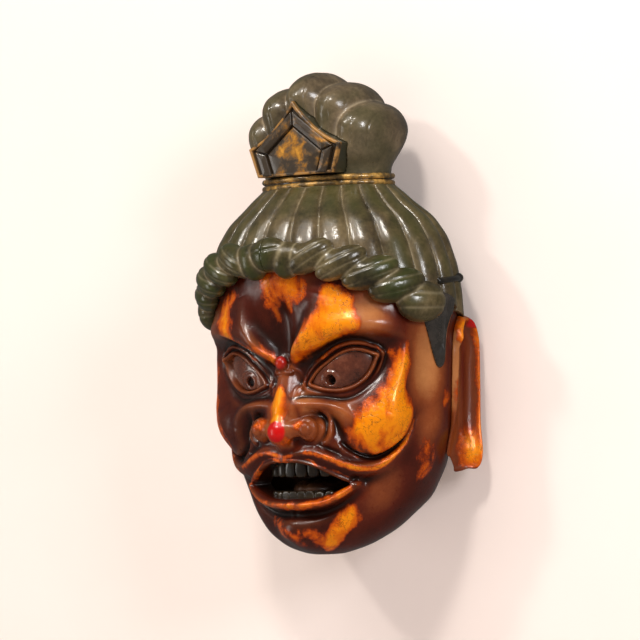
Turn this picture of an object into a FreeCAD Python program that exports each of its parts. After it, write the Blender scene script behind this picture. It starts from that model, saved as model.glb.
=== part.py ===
import FreeCAD, Part
import math
import os
import Sketcher
from FreeCAD import Placement, Rotation, Vector

# Wrathful temple-guardian wall mask, carved and joined in lacquered wood.
# Row frame: X to the viewer's right, -Y out of the wall towards the viewer, +Z up.
# The back plane that rests on the wall is y = 0. The origin is the wall nail's point in the hanging ring.
# Heights in the sheet are measured from the underside of the chin; hang_z is the origin's height.

doc = FreeCAD.newDocument("guardian_mask")
dims = doc.addObject("Spreadsheet::Sheet", "dims")
row = [0]
VALUE = {}


def cell(alias, value, note):
    row[0] += 1
    dims.set("A%d" % row[0], note)
    dims.set("B%d" % row[0], repr(value))
    dims.setAlias("B%d" % row[0], alias)
    VALUE[alias] = float(value)


cell("hang_z", 190, "height of the nail point above the chin")
cell("shell_wall", 10, "wall of the hollowed face and hair blocks at the sides")
cell("shell_front", 5, "shift and shortening of the hollow that leave the same wall in front")
cell("hair_proud", 2.5, "how far the hair block stands proud of the face block")
# outer form of the head: height, half width, half depth and depth of the centre of each level's ellipse
HEAD = [
    (0, 14, 12, 62), (5, 26, 24, 60), (15, 42, 38, 54), (34, 60, 50, 44), (53, 70, 54, 42), (79, 79, 57, 42),
    (97, 82, 58, 42), (123, 84, 59, 42), (142, 84, 60, 42), (161, 84, 60, 43), (178, 82, 60, 44), (195, 76, 58, 44),
    (211, 67, 52, 44), (222, 56, 43, 45), (230, 49, 36, 45), (235, 45, 32, 45),
]
for i, (z, w, d, c) in enumerate(HEAD):
    cell("head%s_z" % chr(97 + i), z, "head section height")
    cell("head%s_w" % chr(97 + i), w, "head section half width")
    cell("head%s_d" % chr(97 + i), d, "head section half depth")
    cell("head%s_c" % chr(97 + i), c, "depth of the head section's centre")
# topknot levels, the same four numbers
KNOT = [(239.6, 44, 30, 45), (256, 51, 33, 45), (270, 56, 35, 45), (284, 54, 34, 45), (294, 45, 29, 46), (301, 30, 20, 46), (305, 14, 9, 46)]
cell("neck_z", 230.6, "topknot neck bottom")
cell("neck_w", 44, "topknot neck half width")
cell("neck_d", 30, "topknot neck half depth")
cell("neck_c", 45, "depth of the neck's centre")
for i, (z, w, d, c) in enumerate(KNOT):
    cell("knot%s_z" % chr(97 + i), z, "topknot section height")
    cell("knot%s_w" % chr(97 + i), w, "topknot section half width")
    cell("knot%s_d" % chr(97 + i), d, "topknot section half depth")
    cell("knot%s_c" % chr(97 + i), c, "depth of the topknot section's centre")
cell("seam_front_z", 184, "seam between face and hair blocks at the front")
cell("seam_front_y", 104, "depth at which that height is taken")
cell("seam_slope", 24, "tilt of the seam plane, degrees")
cell("nose_tip_d", 112, "depth of the nose tip")
cell("nose_half_w", 20, "half width at the nostril wings")
cell("eye_x", 36, "eye centre from the middle")
cell("eye_depth", 89, "eye centre depth")
cell("eye_z", 118, "eye centre height")
cell("eye_half_w", 23.5, "half length of the eye opening")
cell("eye_half_h", 11, "half height of the eye opening")
cell("eye_ball", 28, "radius of the eye's dome")
cell("eye_gap", 0.1, "clearance of the inlaid eye in its socket")
cell("pupil_bore", 3.2, "radius of the pierced pupil")
cell("mouth_z", 47, "mouth centre height")
cell("mouth_half_w", 35, "half width of the open mouth")
cell("mouth_half_h", 14, "half height of the open mouth")
cell("mouth_board_d", 56, "depth of the board behind the mouth")
cell("board_thick", 4, "board thickness")
cell("teeth_arc", 42, "radius of the row of teeth")
cell("teeth_arc_d", 52, "depth of that arc's centre")
cell("tooth_upper_z", 53, "underside of the upper teeth")
cell("tooth_upper_tall", 9, "height of the upper teeth")
cell("tooth_lower_z", 33, "underside of the lower teeth")
cell("tooth_lower_tall", 7, "height of the lower teeth")
cell("braid_half_tall", 11, "half height of the braid")
cell("braid_half_thick", 9, "half thickness of the braid")
cell("braid_out", 3.5, "how far the braid's line runs outside the head's form")
cell("braid_drop", 14, "how far the braid's end hangs below the line of its middle")
cell("pupil_x", 31.4, "pupil from the middle")
cell("pupil_z", 110.9, "height of the pupil")
cell("cord_tall", 3.5, "height of one gilded cord")
cell("cord_thick", 2.4, "how far the cord stands out")
cell("cord_low_z", 230.9, "lower cord's underside")
cell("cord_high_z", 235.1, "upper cord's underside")
cell("plate_half_w", 35, "crown plate half width at its shoulders")
cell("plate_foot_w", 29, "crown plate half width at its foot")
cell("plate_z", 238.9, "foot of the crown plate")
cell("plate_tall", 44.9, "height of the crown plate")
cell("plate_shoulder", 18.4, "height of the shoulders above the foot")
cell("plate_back_d", 66, "depth of the crown plate's back")
cell("plate_thick", 13, "thickness of the crown plate")
cell("frame_thick", 2.0, "how far the mitred frame stands out")
cell("frame_wide", 7.5, "width of the frame bars")
cell("panel_thick", 1.2, "thickness of the centre panel")
cell("ear_in_x", 71, "inner face of the ear from the middle")
cell("ear_thick", 14, "thickness of the ear")
cell("ear_front_d", 37, "depth of the ear's front root")
cell("ear_wide", 33, "width of the ear")
cell("ear_low_z", 48, "bottom of the lobe")
cell("ear_tall", 103, "length of the ear")
cell("lock_proud", 3.2, "how far the sideburn stands out")
cell("tie_proud", 2.4, "how far the hair tie stands out of the hair block")
cell("batten_low_z", 162, "underside of the hanging batten")
cell("batten_tall", 28, "height of the hanging batten")
cell("batten_back_d", 6.4, "how far the batten's back is from the wall")
cell("batten_thick", 14, "thickness of the batten")
cell("wire_rad", 1.3, "ring wire radius")
cell("ring_half_w", 9, "hanging ring half width")
cell("ring_up", 2.8, "height of the ring's top centreline over the nail point")
cell("ring_bar_z", -12.7, "height of the ring's straight bar from the nail point")
cell("ring_d", 3.2, "distance of the ring's plane from the wall")
cell("strap_wide", 9, "width of the strap")
cell("strap_gap", 0.1, "running clearance round the ring's bar")
cell("strap_sheet", 1.1, "strap sheet thickness")
cell("strap_long", 14.5, "length of strap below the bar")
cell("screw_first", 5.6, "first hanger screw, below the bar")
cell("screw_second", 11.4, "second hanger screw, below the bar")
cell("screw_rad", 1.5, "hanger screw shank radius")
cell("screw_head", 2.6, "hanger screw head radius")
cell("screw_long", 9, "length of the screw in the wood")
cell("dowel_rad", 2.2, "seam dowel radius")
cell("dowel_long", 20, "seam dowel length")
cell("knot_pin_rad", 6, "topknot dowel radius")
cell("knot_pin_long", 26, "topknot dowel length")
cell("ear_pin_rad", 2, "ear dowel radius")
cell("ear_pin_long", 13, "ear dowel length")
cell("batten_pin_long", 14.5, "batten dowel length")
cell("crown_pin_rad", 2.5, "crown plate pin radius")
doc.recompute()
V = VALUE
HZ = V["hang_z"]
PARTS = []


def eval_formula(text):
    """Value of a sum or difference of numbers, cells of the sheet and their products."""
    total, sign, term = 0.0, 1.0, None
    for word in text.replace("-", " - ").replace("+", " + ").replace("*", " * ").split():
        if word in "+-":
            if term is not None:
                total += sign * term
                term, sign = None, 1.0
            if word == "-":
                sign = -sign
        elif word != "*":
            number = V[word[5:]] if word.startswith("dims.") else float(word)
            term = number if term is None else term * number
    return total + sign * (term or 0.0)


def bind(obj, **expressions):
    for key, text in expressions.items():
        obj.setExpression(key.replace("__", "."), text)
    return obj


def ellipse_at(name, z, w, d, c):
    """Ellipse in a level plane: half width along X, half depth along Y, centre c in front of the wall."""
    e = doc.addObject("Part::Ellipse", name)
    if eval_formula(w) >= eval_formula(d):
        bind(e, MajorRadius=w, MinorRadius=d)
    else:
        e.Placement = Placement(Vector(0, 0, 0), Rotation(Vector(0, 0, 1), 90))
        bind(e, MajorRadius=d, MinorRadius=w)
    e.setExpression("Placement.Base.z", z)
    e.setExpression("Placement.Base.y", "-1 * (%s)" % c)
    return e


def loft(name, sections):
    f = doc.addObject("Part::Loft", name)
    f.Sections = sections
    f.Solid = True
    f.Ruled = False
    return f


def box(name, lx, ly, lz, px, py, pz, rot=None):
    b = doc.addObject("Part::Box", name)
    bind(b, Length=lx, Width=ly, Height=lz)
    if rot:
        b.Placement = Placement(Vector(0, 0, 0), rot)
    b.setExpression("Placement.Base.x", px)
    b.setExpression("Placement.Base.y", py)
    b.setExpression("Placement.Base.z", pz)
    return b


def ball(name, rx, ry, rz, px, py, pz, rot=None):
    b = doc.addObject("Part::Ellipsoid", name)
    # Radius1 runs along the local Z, Radius2 along X and Radius3 along Y
    bind(b, Radius1=rz, Radius2=rx, Radius3=ry)
    b.Angle1, b.Angle2, b.Angle3 = -90, 90, 360
    if rot:
        b.Placement = Placement(Vector(0, 0, 0), rot)
    b.setExpression("Placement.Base.x", px)
    b.setExpression("Placement.Base.y", py)
    b.setExpression("Placement.Base.z", pz)
    return b


def rod(name, rad, long, base, direction):
    c = doc.addObject("Part::Cylinder", name)
    bind(c, Radius=rad, Height=long)
    c.Placement = Placement(Vector(*base), Rotation(Vector(0, 0, 1), Vector(*direction)))
    return c


def fuse(name, shapes):
    f = doc.addObject("Part::MultiFuse", name)
    f.Shapes = shapes
    return f


def cut(name, base, tools):
    c = doc.addObject("Part::Cut", name)
    c.Base = base
    c.Tool = tools[0] if len(tools) == 1 else fuse(name + "_tools", tools)
    return c


def common(name, a, b):
    c = doc.addObject("Part::MultiCommon", name)
    c.Shapes = [a, b]
    return c


def plane(body, role):
    return next(f for f in body.Origin.OriginFeatures if f.Role == role)


def body(name):
    return doc.addObject("PartDesign::Body", name)


def polygon(b, name, role, points, offset="0"):
    """Closed polygon sketch; each point is a pair of formulas that place it."""
    sk = b.newObject("Sketcher::SketchObject", name)
    sk.AttachmentSupport = [(plane(b, role), "")]
    sk.MapMode = "FlatFace"
    pts = [Vector(eval_formula(x), eval_formula(y), 0) for x, y in points]
    n = len(pts)
    for i in range(n):
        sk.addGeometry(Part.LineSegment(pts[i], pts[(i + 1) % n]), False)
    for i in range(n):
        sk.addConstraint(Sketcher.Constraint("Coincident", i, 2, (i + 1) % n, 1))
    for i, (x, y) in enumerate(points):
        for kind, text, at in (("DistanceX", x, pts[i].x), ("DistanceY", y, pts[i].y)):
            c = sk.addConstraint(Sketcher.Constraint(kind, -1, 1, i, 1, at))
            sk.setExpression("Constraints[%d]" % c, text)
    sk.setExpression("AttachmentOffset.Base.z", offset)
    return sk


def circles(b, name, role, spots, offset="0"):
    sk = b.newObject("Sketcher::SketchObject", name)
    sk.AttachmentSupport = [(plane(b, role), "")]
    sk.MapMode = "FlatFace"
    for i, (x, y, r) in enumerate(spots):
        fx, fy, fr = eval_formula(x), eval_formula(y), eval_formula(r)
        sk.addGeometry(Part.Circle(Vector(fx, fy, 0), Vector(0, 0, 1), fr), False)
        for kind, text, at in (("DistanceX", x, fx), ("DistanceY", y, fy)):
            c = sk.addConstraint(Sketcher.Constraint(kind, -1, 1, i, 3, at))
            sk.setExpression("Constraints[%d]" % c, text)
        c = sk.addConstraint(Sketcher.Constraint("Radius", i, fr))
        sk.setExpression("Constraints[%d]" % c, r)
    sk.setExpression("AttachmentOffset.Base.z", offset)
    return sk


def pad(b, sk, length, both=False, name="Pad", back=False):
    p = b.newObject("PartDesign::Pad", name)
    p.Profile = sk
    p.setExpression("Length", length)
    if both:
        p.Midplane = True
    p.Reversed = back
    sk.Visibility = False
    return p


def pocket(b, sk, length, name="Pocket", back=False, both=False):
    doc.recompute()
    before = b.Shape.Volume
    p = b.newObject("PartDesign::Pocket", name)
    p.Profile = sk
    p.setExpression("Length", length)
    p.Reversed = back
    p.Midplane = both
    doc.recompute()
    if not b.Shape.Volume < before - 1e-6:
        raise RuntimeError("%s cuts nothing" % name)
    return p


def keep(obj, label):
    obj.Label = label
    PARTS.append(obj)
    return obj


H = " - dims.hang_z"
front_half = box("front_half", "260", "180", "420", "-130", "-180", "-260")

# ---- head forms ----
def head_levels(tag, extra, first, last):
    """Level ellipses of the head, grown by extra all round."""
    out = []
    for i in range(first, last):
        k = "dims.head" + chr(97 + i)
        out.append(ellipse_at("%s_sec_%s" % (tag, chr(97 + i)), k + "_z" + H, k + "_w" + extra, k + "_d" + extra, k + "_c"))
    return out


head_form = loft("head_form", head_levels("head", "", 0, 16))
hair_form = loft("hair_form", head_levels("hair", " + dims.hair_proud", 0, 16))
lock_form = loft("lock_form", head_levels("lock", " + dims.lock_proud", 0, 16))
tie_form = loft("tie_form", head_levels("tie", " + dims.hair_proud + dims.tie_proud", 0, 16))
hollow_secs = [ellipse_at("hollow_low", "13" + H, "27", "23", "50")]
for k in "defghijkl":
    t = "dims.head" + k
    hollow_secs.append(ellipse_at("hollow_" + k, t + "_z" + H, t + "_w - dims.shell_wall", t + "_d - dims.shell_front", t + "_c - dims.shell_front"))
hollow_secs.append(ellipse_at("hollow_up", "206" + H, "58", "48", "40"))
hollow_secs.append(ellipse_at("hollow_top", "215" + H, "46", "38", "42"))
hollow_form = loft("hollow_form", hollow_secs)
seam_rot = Rotation(Vector(1, 0, 0), -V["seam_slope"])
# a slab whose top face is the seam plane through (0, -seam_front_y, seam_front_z)
below_seam = box("below_seam", "300", "700", "300", "-150", "0", "0", seam_rot)
below_seam.setExpression("Placement.Base.y", "-dims.seam_front_y - 150 * cos(dims.seam_slope) - 300 * sin(dims.seam_slope)")
below_seam.setExpression("Placement.Base.z", "dims.seam_front_z + 150 * sin(dims.seam_slope) - 300 * cos(dims.seam_slope)" + H)


def seam_z(y):
    """Height of the seam plane at y, in the row frame."""
    return V["seam_front_z"] - HZ - (y + V["seam_front_y"]) * math.tan(math.radians(V["seam_slope"]))


# ---- openings of the face ----
def ellipse_prism(name, half_w, half_h, centre, turn, tilt, back, long):
    """Elliptical prism along the horizontal direction turned outwards by turn; it starts back behind the centre."""
    out = Vector(math.sin(math.radians(turn)), -math.cos(math.radians(turn)), 0)
    e = doc.addObject("Part::Ellipse", name + "_edge")
    bind(e, MajorRadius=half_w, MinorRadius=half_h)
    e.Placement = Placement(Vector(*centre) - out * back, Rotation(Vector(0, 0, 1), turn) * Rotation(Vector(0, 1, 0), -tilt) * Rotation(Vector(1, 0, 0), 90))
    x = doc.addObject("Part::Extrusion", name)
    x.Base = e
    x.DirMode = "Custom"
    x.Dir = out
    x.Solid = True
    x.setExpression("LengthFwd", long)
    return x


EYE_TURN, EYE_TILT = 19.0, 16.0
eye_holes, eye_centres = {}, {}
for side, sx in (("right", 1), ("left", -1)):
    eye_centres[side] = (sx * V["eye_x"], -V["eye_depth"], V["eye_z"] - HZ)
    eye_holes[side] = ellipse_prism("eye_hole_" + side, "dims.eye_half_w", "dims.eye_half_h", eye_centres[side], sx * EYE_TURN, sx * EYE_TILT, 30, "80")
mouth_hole = ellipse_prism("mouth_hole", "dims.mouth_half_w", "dims.mouth_half_h", (0, -90, V["mouth_z"] - HZ), 0, 0, 45, "80")

# ---- face block ----
nose = loft("nose", [
    ellipse_at("nose_a", "71" + H, "12", "dims.nose_tip_d - 104", "96"),
    ellipse_at("nose_b", "76" + H, "dims.nose_half_w", "dims.nose_tip_d - 97", "96"),
    ellipse_at("nose_c", "83" + H, "dims.nose_half_w - 2", "dims.nose_tip_d - 96", "96"),
    ellipse_at("nose_d", "94" + H, "9", "14", "94"),
    ellipse_at("nose_e", "110" + H, "7", "11", "92"),
    ellipse_at("nose_f", "124" + H, "6", "8", "92"),
])
features = [head_form, nose]
for side, sx in (("r", 1), ("l", -1)):
    sign = "" if sx > 0 else "-"
    features.append(ball("brow_" + side, "30", "13", "11", sign + "31", "-89", "138" + H, Rotation(Vector(0, 1, 0), -18 * sx) * Rotation(Vector(0, 0, 1), 20 * sx)))
    features.append(ball("cheek_" + side, "20", "15", "20", sign + "48", "-76", "92" + H))
    features.append(ball("fold_" + side, "27", "10", "7", sign + "31", "-84", "69" + H, Rotation(Vector(0, 1, 0), -8 * sx) * Rotation(Vector(0, 0, 1), 28 * sx)))
features.append(ball("chin", "24", "14", "12", "0", "-82", "14" + H))
features.append(ball("lip_low", "38", "23", "18", "0", "-82", "dims.mouth_z - 3" + H))
features.append(ball("lip_high", "38", "22", "13", "0", "-83", "dims.mouth_z + 12" + H))
face_mass = fuse("face_mass", features)

seam_dowels = []
for i, (x, y) in enumerate(((79.0, -42.0), (-79.0, -42.0), (0.0, -97.0))):
    seam_dowels.append(rod("seam_dowel_%d" % i, "dims.dowel_rad", "dims.dowel_long", (x, y, seam_z(y) - V["dowel_long"] / 2), (0, 0, 1)))
ear_pins = []
for i, (sx, yy, zz) in enumerate(((1, -9, 128), (1, -9, 88), (-1, -9, 128), (-1, -9, 88))):
    ear_pins.append(rod("ear_pin_%d" % i, "dims.ear_pin_rad", "dims.ear_pin_long", (sx * 65, yy, zz - HZ), (sx, 0, 0)))
batten_pins = [
    rod("batten_pin_%d" % i, "dims.ear_pin_rad", "dims.batten_pin_long", (sx * 57, -V["batten_back_d"] - 7, 180 - HZ), (sx, 0, 0))
    for i, sx in enumerate((1, -1))
]

front_face = common("front_face", common("face_low", face_mass, below_seam), front_half)
keep(cut("face_cut", front_face, [hollow_form, eye_holes["right"], eye_holes["left"], mouth_hole] + seam_dowels + ear_pins), "face_shell")

# ---- hair block ----
knot_pin = rod("knot_pin", "dims.knot_pin_rad", "dims.knot_pin_long", (0, -V["neck_c"], V["neck_z"] - 13 - HZ), (0, 0, 1))
above_neck = box("above_neck", "200", "200", "40", "-100", "-150", "dims.neck_z" + H)
hair_front = common("hair_front", hair_form, front_half)
keep(cut("hair_cut", hair_front, [below_seam, above_neck, hollow_form, knot_pin] + seam_dowels + batten_pins), "hair_cap")

# ---- topknot ----
neck_low = ellipse_at("neck_low", "dims.neck_z" + H, "dims.neck_w", "dims.neck_d", "dims.neck_c")
neck_high = ellipse_at("neck_high", "dims.neck_z + 9" + H, "dims.neck_w", "dims.neck_d", "dims.neck_c")
knot_secs = [
    ellipse_at("knot_%s" % chr(97 + i), "dims.knot%s_z" % chr(97 + i) + H, "dims.knot%s_w" % chr(97 + i), "dims.knot%s_d" % chr(97 + i), "dims.knot%s_c" % chr(97 + i))
    for i in range(len(KNOT))
]
knot_mass = fuse("knot_mass", [loft("neck_rod", [neck_low, neck_high]), loft("knot_loft", knot_secs)])

# ---- crown plate: base, four mitred frame bars and centre panel ----
def pentagon(b, name, offset):
    pts = [
        ("-dims.plate_foot_w", "dims.plate_z" + H),
        ("-dims.plate_half_w", "dims.plate_z + dims.plate_shoulder" + H),
        ("0", "dims.plate_z + dims.plate_tall" + H),
        ("dims.plate_half_w", "dims.plate_z + dims.plate_shoulder" + H),
        ("dims.plate_foot_w", "dims.plate_z" + H),
    ]
    return polygon(b, name, "XZ_Plane", pts, offset)


plate = body("crown_plate_body")
pad(plate, pentagon(plate, "plate_outline", "dims.plate_back_d"), "dims.plate_thick", name="PlatePad")
doc.recompute()
crown_pin = rod("crown_pin", "dims.crown_pin_rad", "18", (0, -(V["plate_back_d"] - 10), V["plate_z"] + 14 - HZ), (0, -1, 0))
keep(cut("crown_plate_cut", plate, [crown_pin]), "crown_plate")
seat = body("crown_seat_body")
pad(seat, pentagon(seat, "seat_outline", "dims.plate_back_d"), "60", name="SeatPad")
keep(cut("knot_cut", knot_mass, [seat, knot_pin, crown_pin]), "topknot")


def outline(inset):
    """Corners of the crown plate's outline, its four upper edges moved inwards by inset, as numbers."""
    w, f, t, s, z0 = V["plate_half_w"], V["plate_foot_w"], V["plate_tall"], V["plate_shoulder"], V["plate_z"] - HZ
    pts = [(-f, z0), (-w, z0 + s), (0, z0 + t), (w, z0 + s), (f, z0)]
    lines = []
    for i in range(5):
        (x1, y1), (x2, y2) = pts[i], pts[(i + 1) % 5]
        length = math.hypot(x2 - x1, y2 - y1)
        dx, dy = (x2 - x1) / length, (y2 - y1) / length
        step = 0.5 if i == 4 else inset
        lines.append((x1 + dy * step, y1 - dx * step, dx, dy))
    out = []
    for i in range(5):
        x1, y1, dx1, dy1 = lines[i - 1]
        x2, y2, dx2, dy2 = lines[i]
        along = ((x2 - x1) * dy2 - (y2 - y1) * dx2) / (dx1 * dy2 - dy1 * dx2)
        out.append((x1 + dx1 * along, y1 + dy1 * along))
    return out


outer, inner = outline(2.8), outline(2.8 + V["frame_wide"])
bars = []
for i in range(4):
    bar = body("frame_bar_%d" % i)
    quad = [outer[i], outer[i + 1], inner[i + 1], inner[i]]
    cx, cy = sum(p[0] for p in quad) / 4, sum(p[1] for p in quad) / 4
    quad = [(cx + (x - cx) * 0.97, cy + (y - cy) * 0.97) for x, y in quad]
    sk = polygon(bar, "bar_outline_%d" % i, "XZ_Plane", [(repr(round(x, 4)), repr(round(y, 4))) for x, y in quad], "dims.plate_back_d + dims.plate_thick")
    pad(bar, sk, "dims.frame_thick", name="BarPad%d" % i)
    bars.append(bar)
frame = doc.addObject("Part::Compound", "frame_bars")
frame.Links = bars
keep(frame, "crown_frame")
panel = body("crown_panel_body")
inside = outline(3.4 + V["frame_wide"])
sk = polygon(panel, "panel_outline", "XZ_Plane", [(repr(round(x, 4)), repr(round(y, 4))) for x, y in inside], "dims.plate_back_d + dims.plate_thick")
pad(panel, sk, "dims.panel_thick", name="PanelPad")
keep(panel, "crown_panel")

# ---- gilded cords round the neck ----
for tag, z in (("lower", "dims.cord_low_z"), ("upper", "dims.cord_high_z")):
    rings = []
    for j, (up, inset) in enumerate(((0, 0.8), (0.25, 0), (0.75, 0), (1, 0.8))):
        grow = " + dims.cord_thick - %s" % inset
        rings.append(ellipse_at("cord_%s_%d" % (tag, j), z + " + %s * dims.cord_tall" % up + H, "dims.neck_w" + grow, "dims.neck_d" + grow, "dims.neck_c"))
    ring = loft("cord_%s_ring" % tag, rings)
    ring.Ruled = True
    keep(cut("cord_%s_cut" % tag, ring, [knot_mass]), "topknot_cord_" + tag)

# ---- braid: two ropes that meet over the middle of the forehead and follow the seam ----
LEVEL = {row_[0]: row_ for row_ in HEAD}


def braid_point(u, sx):
    """Point of the braid's line at u degrees from the middle of the forehead."""
    w, d, c = LEVEL[178][1] + V["braid_out"], LEVEL[178][2] + V["braid_out"] + 1, LEVEL[178][3]
    x, y = sx * w * math.sin(math.radians(u)), -c - d * math.cos(math.radians(u))
    return Vector(x, y, seam_z(y) + 3 - V["braid_drop"] * (u / 76.0) ** 2)


pipes = {}
for side, sx in (("right", 1), ("left", -1)):
    curve = Part.BSplineCurve()
    curve.interpolate([braid_point(u, sx) for u in (0, 10, 20, 30, 40, 50, 60, 68, 76)])
    profile = Part.Ellipse(Vector(0, 0, 0), V["braid_half_tall"], V["braid_half_thick"]).toShape()
    # the ellipse's long axis is upright and its plane faces along X, where the line starts
    profile.Placement = Placement(braid_point(0, sx), Rotation(Vector(0, 1, 0), 90))
    pipe = doc.addObject("Part::Feature", "braid_pipe_" + side)
    pipe.Shape = Part.Wire([curve.toShape()]).makePipeShell([Part.Wire([profile])], True, True)
    pipes[side] = pipe
    keep(cut("braid_%s_cut" % side, pipe, [head_form, hair_form]), "braid_" + side)

# ---- sideburns, hair ties and ears: pieces that follow the side of the head ----
def kept(label):
    return next(o for o in PARTS if o.Label == label)


E, L = "dims.ear_wide", "dims.ear_tall"
for side, sx in (("right", 1), ("left", -1)):
    lock = body("lock_body_" + side)
    points = [("-60", "152"), ("-57", "138"), ("-52", "120"), ("-48.5", "115"), ("-45", "119"), ("-41.5", "138"), ("-36", "149"), ("-36", "155")]
    pad(lock, polygon(lock, "lock_outline_" + side, "YZ_Plane", [(y, z + H) for y, z in points]), "120", name="LockPad_" + side, back=sx < 0)
    doc.recompute()
    keep(cut("sideburn_%s_cut" % side, common("lock_" + side, lock, lock_form), [head_form, hair_form, pipes[side]]), "sideburn_" + side)
    tie = body("tie_body_" + side)
    points = [("-52", "167"), ("-52", "170.5"), ("-0.5", "173.5"), ("-0.5", "170")]
    pad(tie, polygon(tie, "tie_outline_" + side, "YZ_Plane", [(y, z + H) for y, z in points]), "120", name="TiePad_" + side, back=sx < 0)
    doc.recompute()
    keep(cut("tie_%s_cut" % side, common("tie_" + side, common("tie_ring_" + side, tie, tie_form), front_half), [hair_form, kept("braid_" + side)]), "braid_tie_" + side)
    ear = body("ear_body_" + side)
    outline_points = [
        (0.40, 0.00), (0.62, 0.00), (0.80, 0.06), (0.90, 0.20), (0.97, 0.50), (1.00, 0.75), (0.96, 0.90), (0.84, 0.99),
        (0.62, 1.00), (0.34, 0.97), (0.10, 0.88), (0.00, 0.70), (0.02, 0.45), (0.14, 0.20), (0.26, 0.05),
    ]
    points = [("-dims.ear_front_d + %s * %s" % (a, E), "dims.ear_low_z + %s * %s" % (b, L) + H) for a, b in outline_points]
    offset = "dims.ear_in_x" if sx > 0 else "-dims.ear_in_x"
    pad(ear, polygon(ear, "ear_outline_" + side, "YZ_Plane", points, offset), "dims.ear_thick", name="EarPad_" + side, back=sx < 0)
    doc.recompute()
    bowl = [(0.26, 0.50), (0.76, 0.50), (0.84, 0.76), (0.70, 0.85), (0.34, 0.84), (0.20, 0.68)]
    points = [("-dims.ear_front_d + %s * %s" % (a, E), "dims.ear_low_z + %s * %s" % (b, L) + H) for a, b in bowl]
    offset = "dims.ear_in_x + dims.ear_thick" if sx > 0 else "-dims.ear_in_x - dims.ear_thick"
    pocket(ear, polygon(ear, "ear_bowl_" + side, "YZ_Plane", points, offset), "3.5", name="EarBowl_" + side, back=sx < 0)
    keep(cut("ear_%s_cut" % side, ear, [head_form, hair_form, kept("sideburn_" + side), kept("braid_" + side), kept("braid_tie_" + side)] + ear_pins), "ear_" + side)

# ---- eyes ----
for side, sx in (("right", 1), ("left", -1)):
    out = Vector(sx * math.sin(math.radians(EYE_TURN)), -math.cos(math.radians(EYE_TURN)), 0)
    centre = Vector(*eye_centres[side])
    plug = ellipse_prism("eye_plug_" + side, "dims.eye_half_w - dims.eye_gap", "dims.eye_half_h - dims.eye_gap", eye_centres[side], sx * EYE_TURN, sx * EYE_TILT, 13, "40")
    dome = doc.addObject("Part::Sphere", "eye_dome_" + side)
    bind(dome, Radius="dims.eye_ball")
    dome.Placement = Placement(centre - out * (V["eye_ball"] - 3), Rotation())
    bore = rod("pupil_" + side, "dims.pupil_bore", "60", (sx * V["pupil_x"], -60, V["pupil_z"] - HZ), (0, -1, 0))
    keep(cut("eye_cut_" + side, common("eye_lens_" + side, plug, dome), [bore]), "eye_" + side)

# ---- mouth board, teeth and tongue ----
mouth_space = fuse("mouth_space", [hollow_form, mouth_hole])
board_box = box("board_box", "160", "dims.board_thick", "48", "-80", "-dims.mouth_board_d - dims.board_thick", "24" + H)
mouth_board = common("mouth_board_fit", board_box, hollow_form)
keep(mouth_board, "mouth_board")
for tag, z, tall, half_w in (("upper", "dims.tooth_upper_z", "dims.tooth_upper_tall", 27.0), ("lower", "dims.tooth_lower_z", "dims.tooth_lower_tall", 25.0)):
    row_body = body("teeth_body_" + tag)
    sk = row_body.newObject("Sketcher::SketchObject", "teeth_outline_" + tag)
    sk.AttachmentSupport = [(plane(row_body, "XY_Plane"), "")]
    sk.MapMode = "FlatFace"
    R0, D0, back_y = V["teeth_arc"], V["teeth_arc_d"], V["mouth_board_d"] + V["board_thick"]
    half = math.degrees(math.asin(half_w / R0))
    a0, a1 = math.radians(-90 - half), math.radians(-90 + half)
    sk.addGeometry(Part.ArcOfCircle(Part.Circle(Vector(0, -D0, 0), Vector(0, 0, 1), R0), a0, a1), False)
    pl = Vector(R0 * math.cos(a0), -D0 + R0 * math.sin(a0), 0)
    pr = Vector(R0 * math.cos(a1), -D0 + R0 * math.sin(a1), 0)
    bl, br = Vector(pl.x, -back_y, 0), Vector(pr.x, -back_y, 0)
    sk.addGeometry([Part.LineSegment(pr, br), Part.LineSegment(br, bl), Part.LineSegment(bl, pl)], False)
    for c in (("Coincident", 0, 2, 1, 1), ("Coincident", 1, 2, 2, 1), ("Coincident", 2, 2, 3, 1), ("Coincident", 3, 2, 0, 1), ("Vertical", 1), ("Horizontal", 2), ("Vertical", 3)):
        sk.addConstraint(Sketcher.Constraint(*c))
    for kind, args, text in (
        ("Radius", (0,), "dims.teeth_arc"),
        ("DistanceX", (-1, 1, 0, 3), None),
        ("DistanceY", (-1, 1, 0, 3), "-dims.teeth_arc_d"),
        ("DistanceY", (-1, 1, 1, 2), "-dims.mouth_board_d - dims.board_thick"),
        ("DistanceX", (-1, 1, 1, 2), None),
        ("DistanceX", (-1, 1, 2, 2), None),
    ):
        start = {"Radius": R0}.get(kind)
        if start is None:
            start = {(-1, 1, 0, 3): 0.0 if kind == "DistanceX" else -D0, (-1, 1, 1, 2): br.x if kind == "DistanceX" else -back_y, (-1, 1, 2, 2): bl.x}[args]
        c = sk.addConstraint(Sketcher.Constraint(kind, *args, start))
        if text:
            sk.setExpression("Constraints[%d]" % c, text)
    sk.setExpression("AttachmentOffset.Base.z", z + H)
    pad(row_body, sk, tall, name="TeethPad_" + tag)
    doc.recompute()
    notch = circles(row_body, "tooth_gap_" + tag, "XY_Plane", [("0", "-dims.teeth_arc_d - dims.teeth_arc - 0.3", "1.1")], z + H)
    gap = pocket(row_body, notch, tall, name="ToothGap_" + tag, back=True)
    keep(common("teeth_%s_fit" % tag, row_body, mouth_space), "teeth_" + tag)
tongue_ball = ball("tongue_ball", "19", "24", "7.5", "0", "-dims.mouth_board_d - dims.board_thick", "42.5" + H)
tongue_space = box("tongue_space", "80", "60", "40", "-40", "-dims.mouth_board_d - dims.board_thick - 60", "30" + H)
tongue = cut("tongue_cut", common("tongue_front", tongue_ball, tongue_space), [o for o in PARTS if o.Label in ("teeth_upper", "teeth_lower")])
keep(tongue, "tongue")

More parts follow.
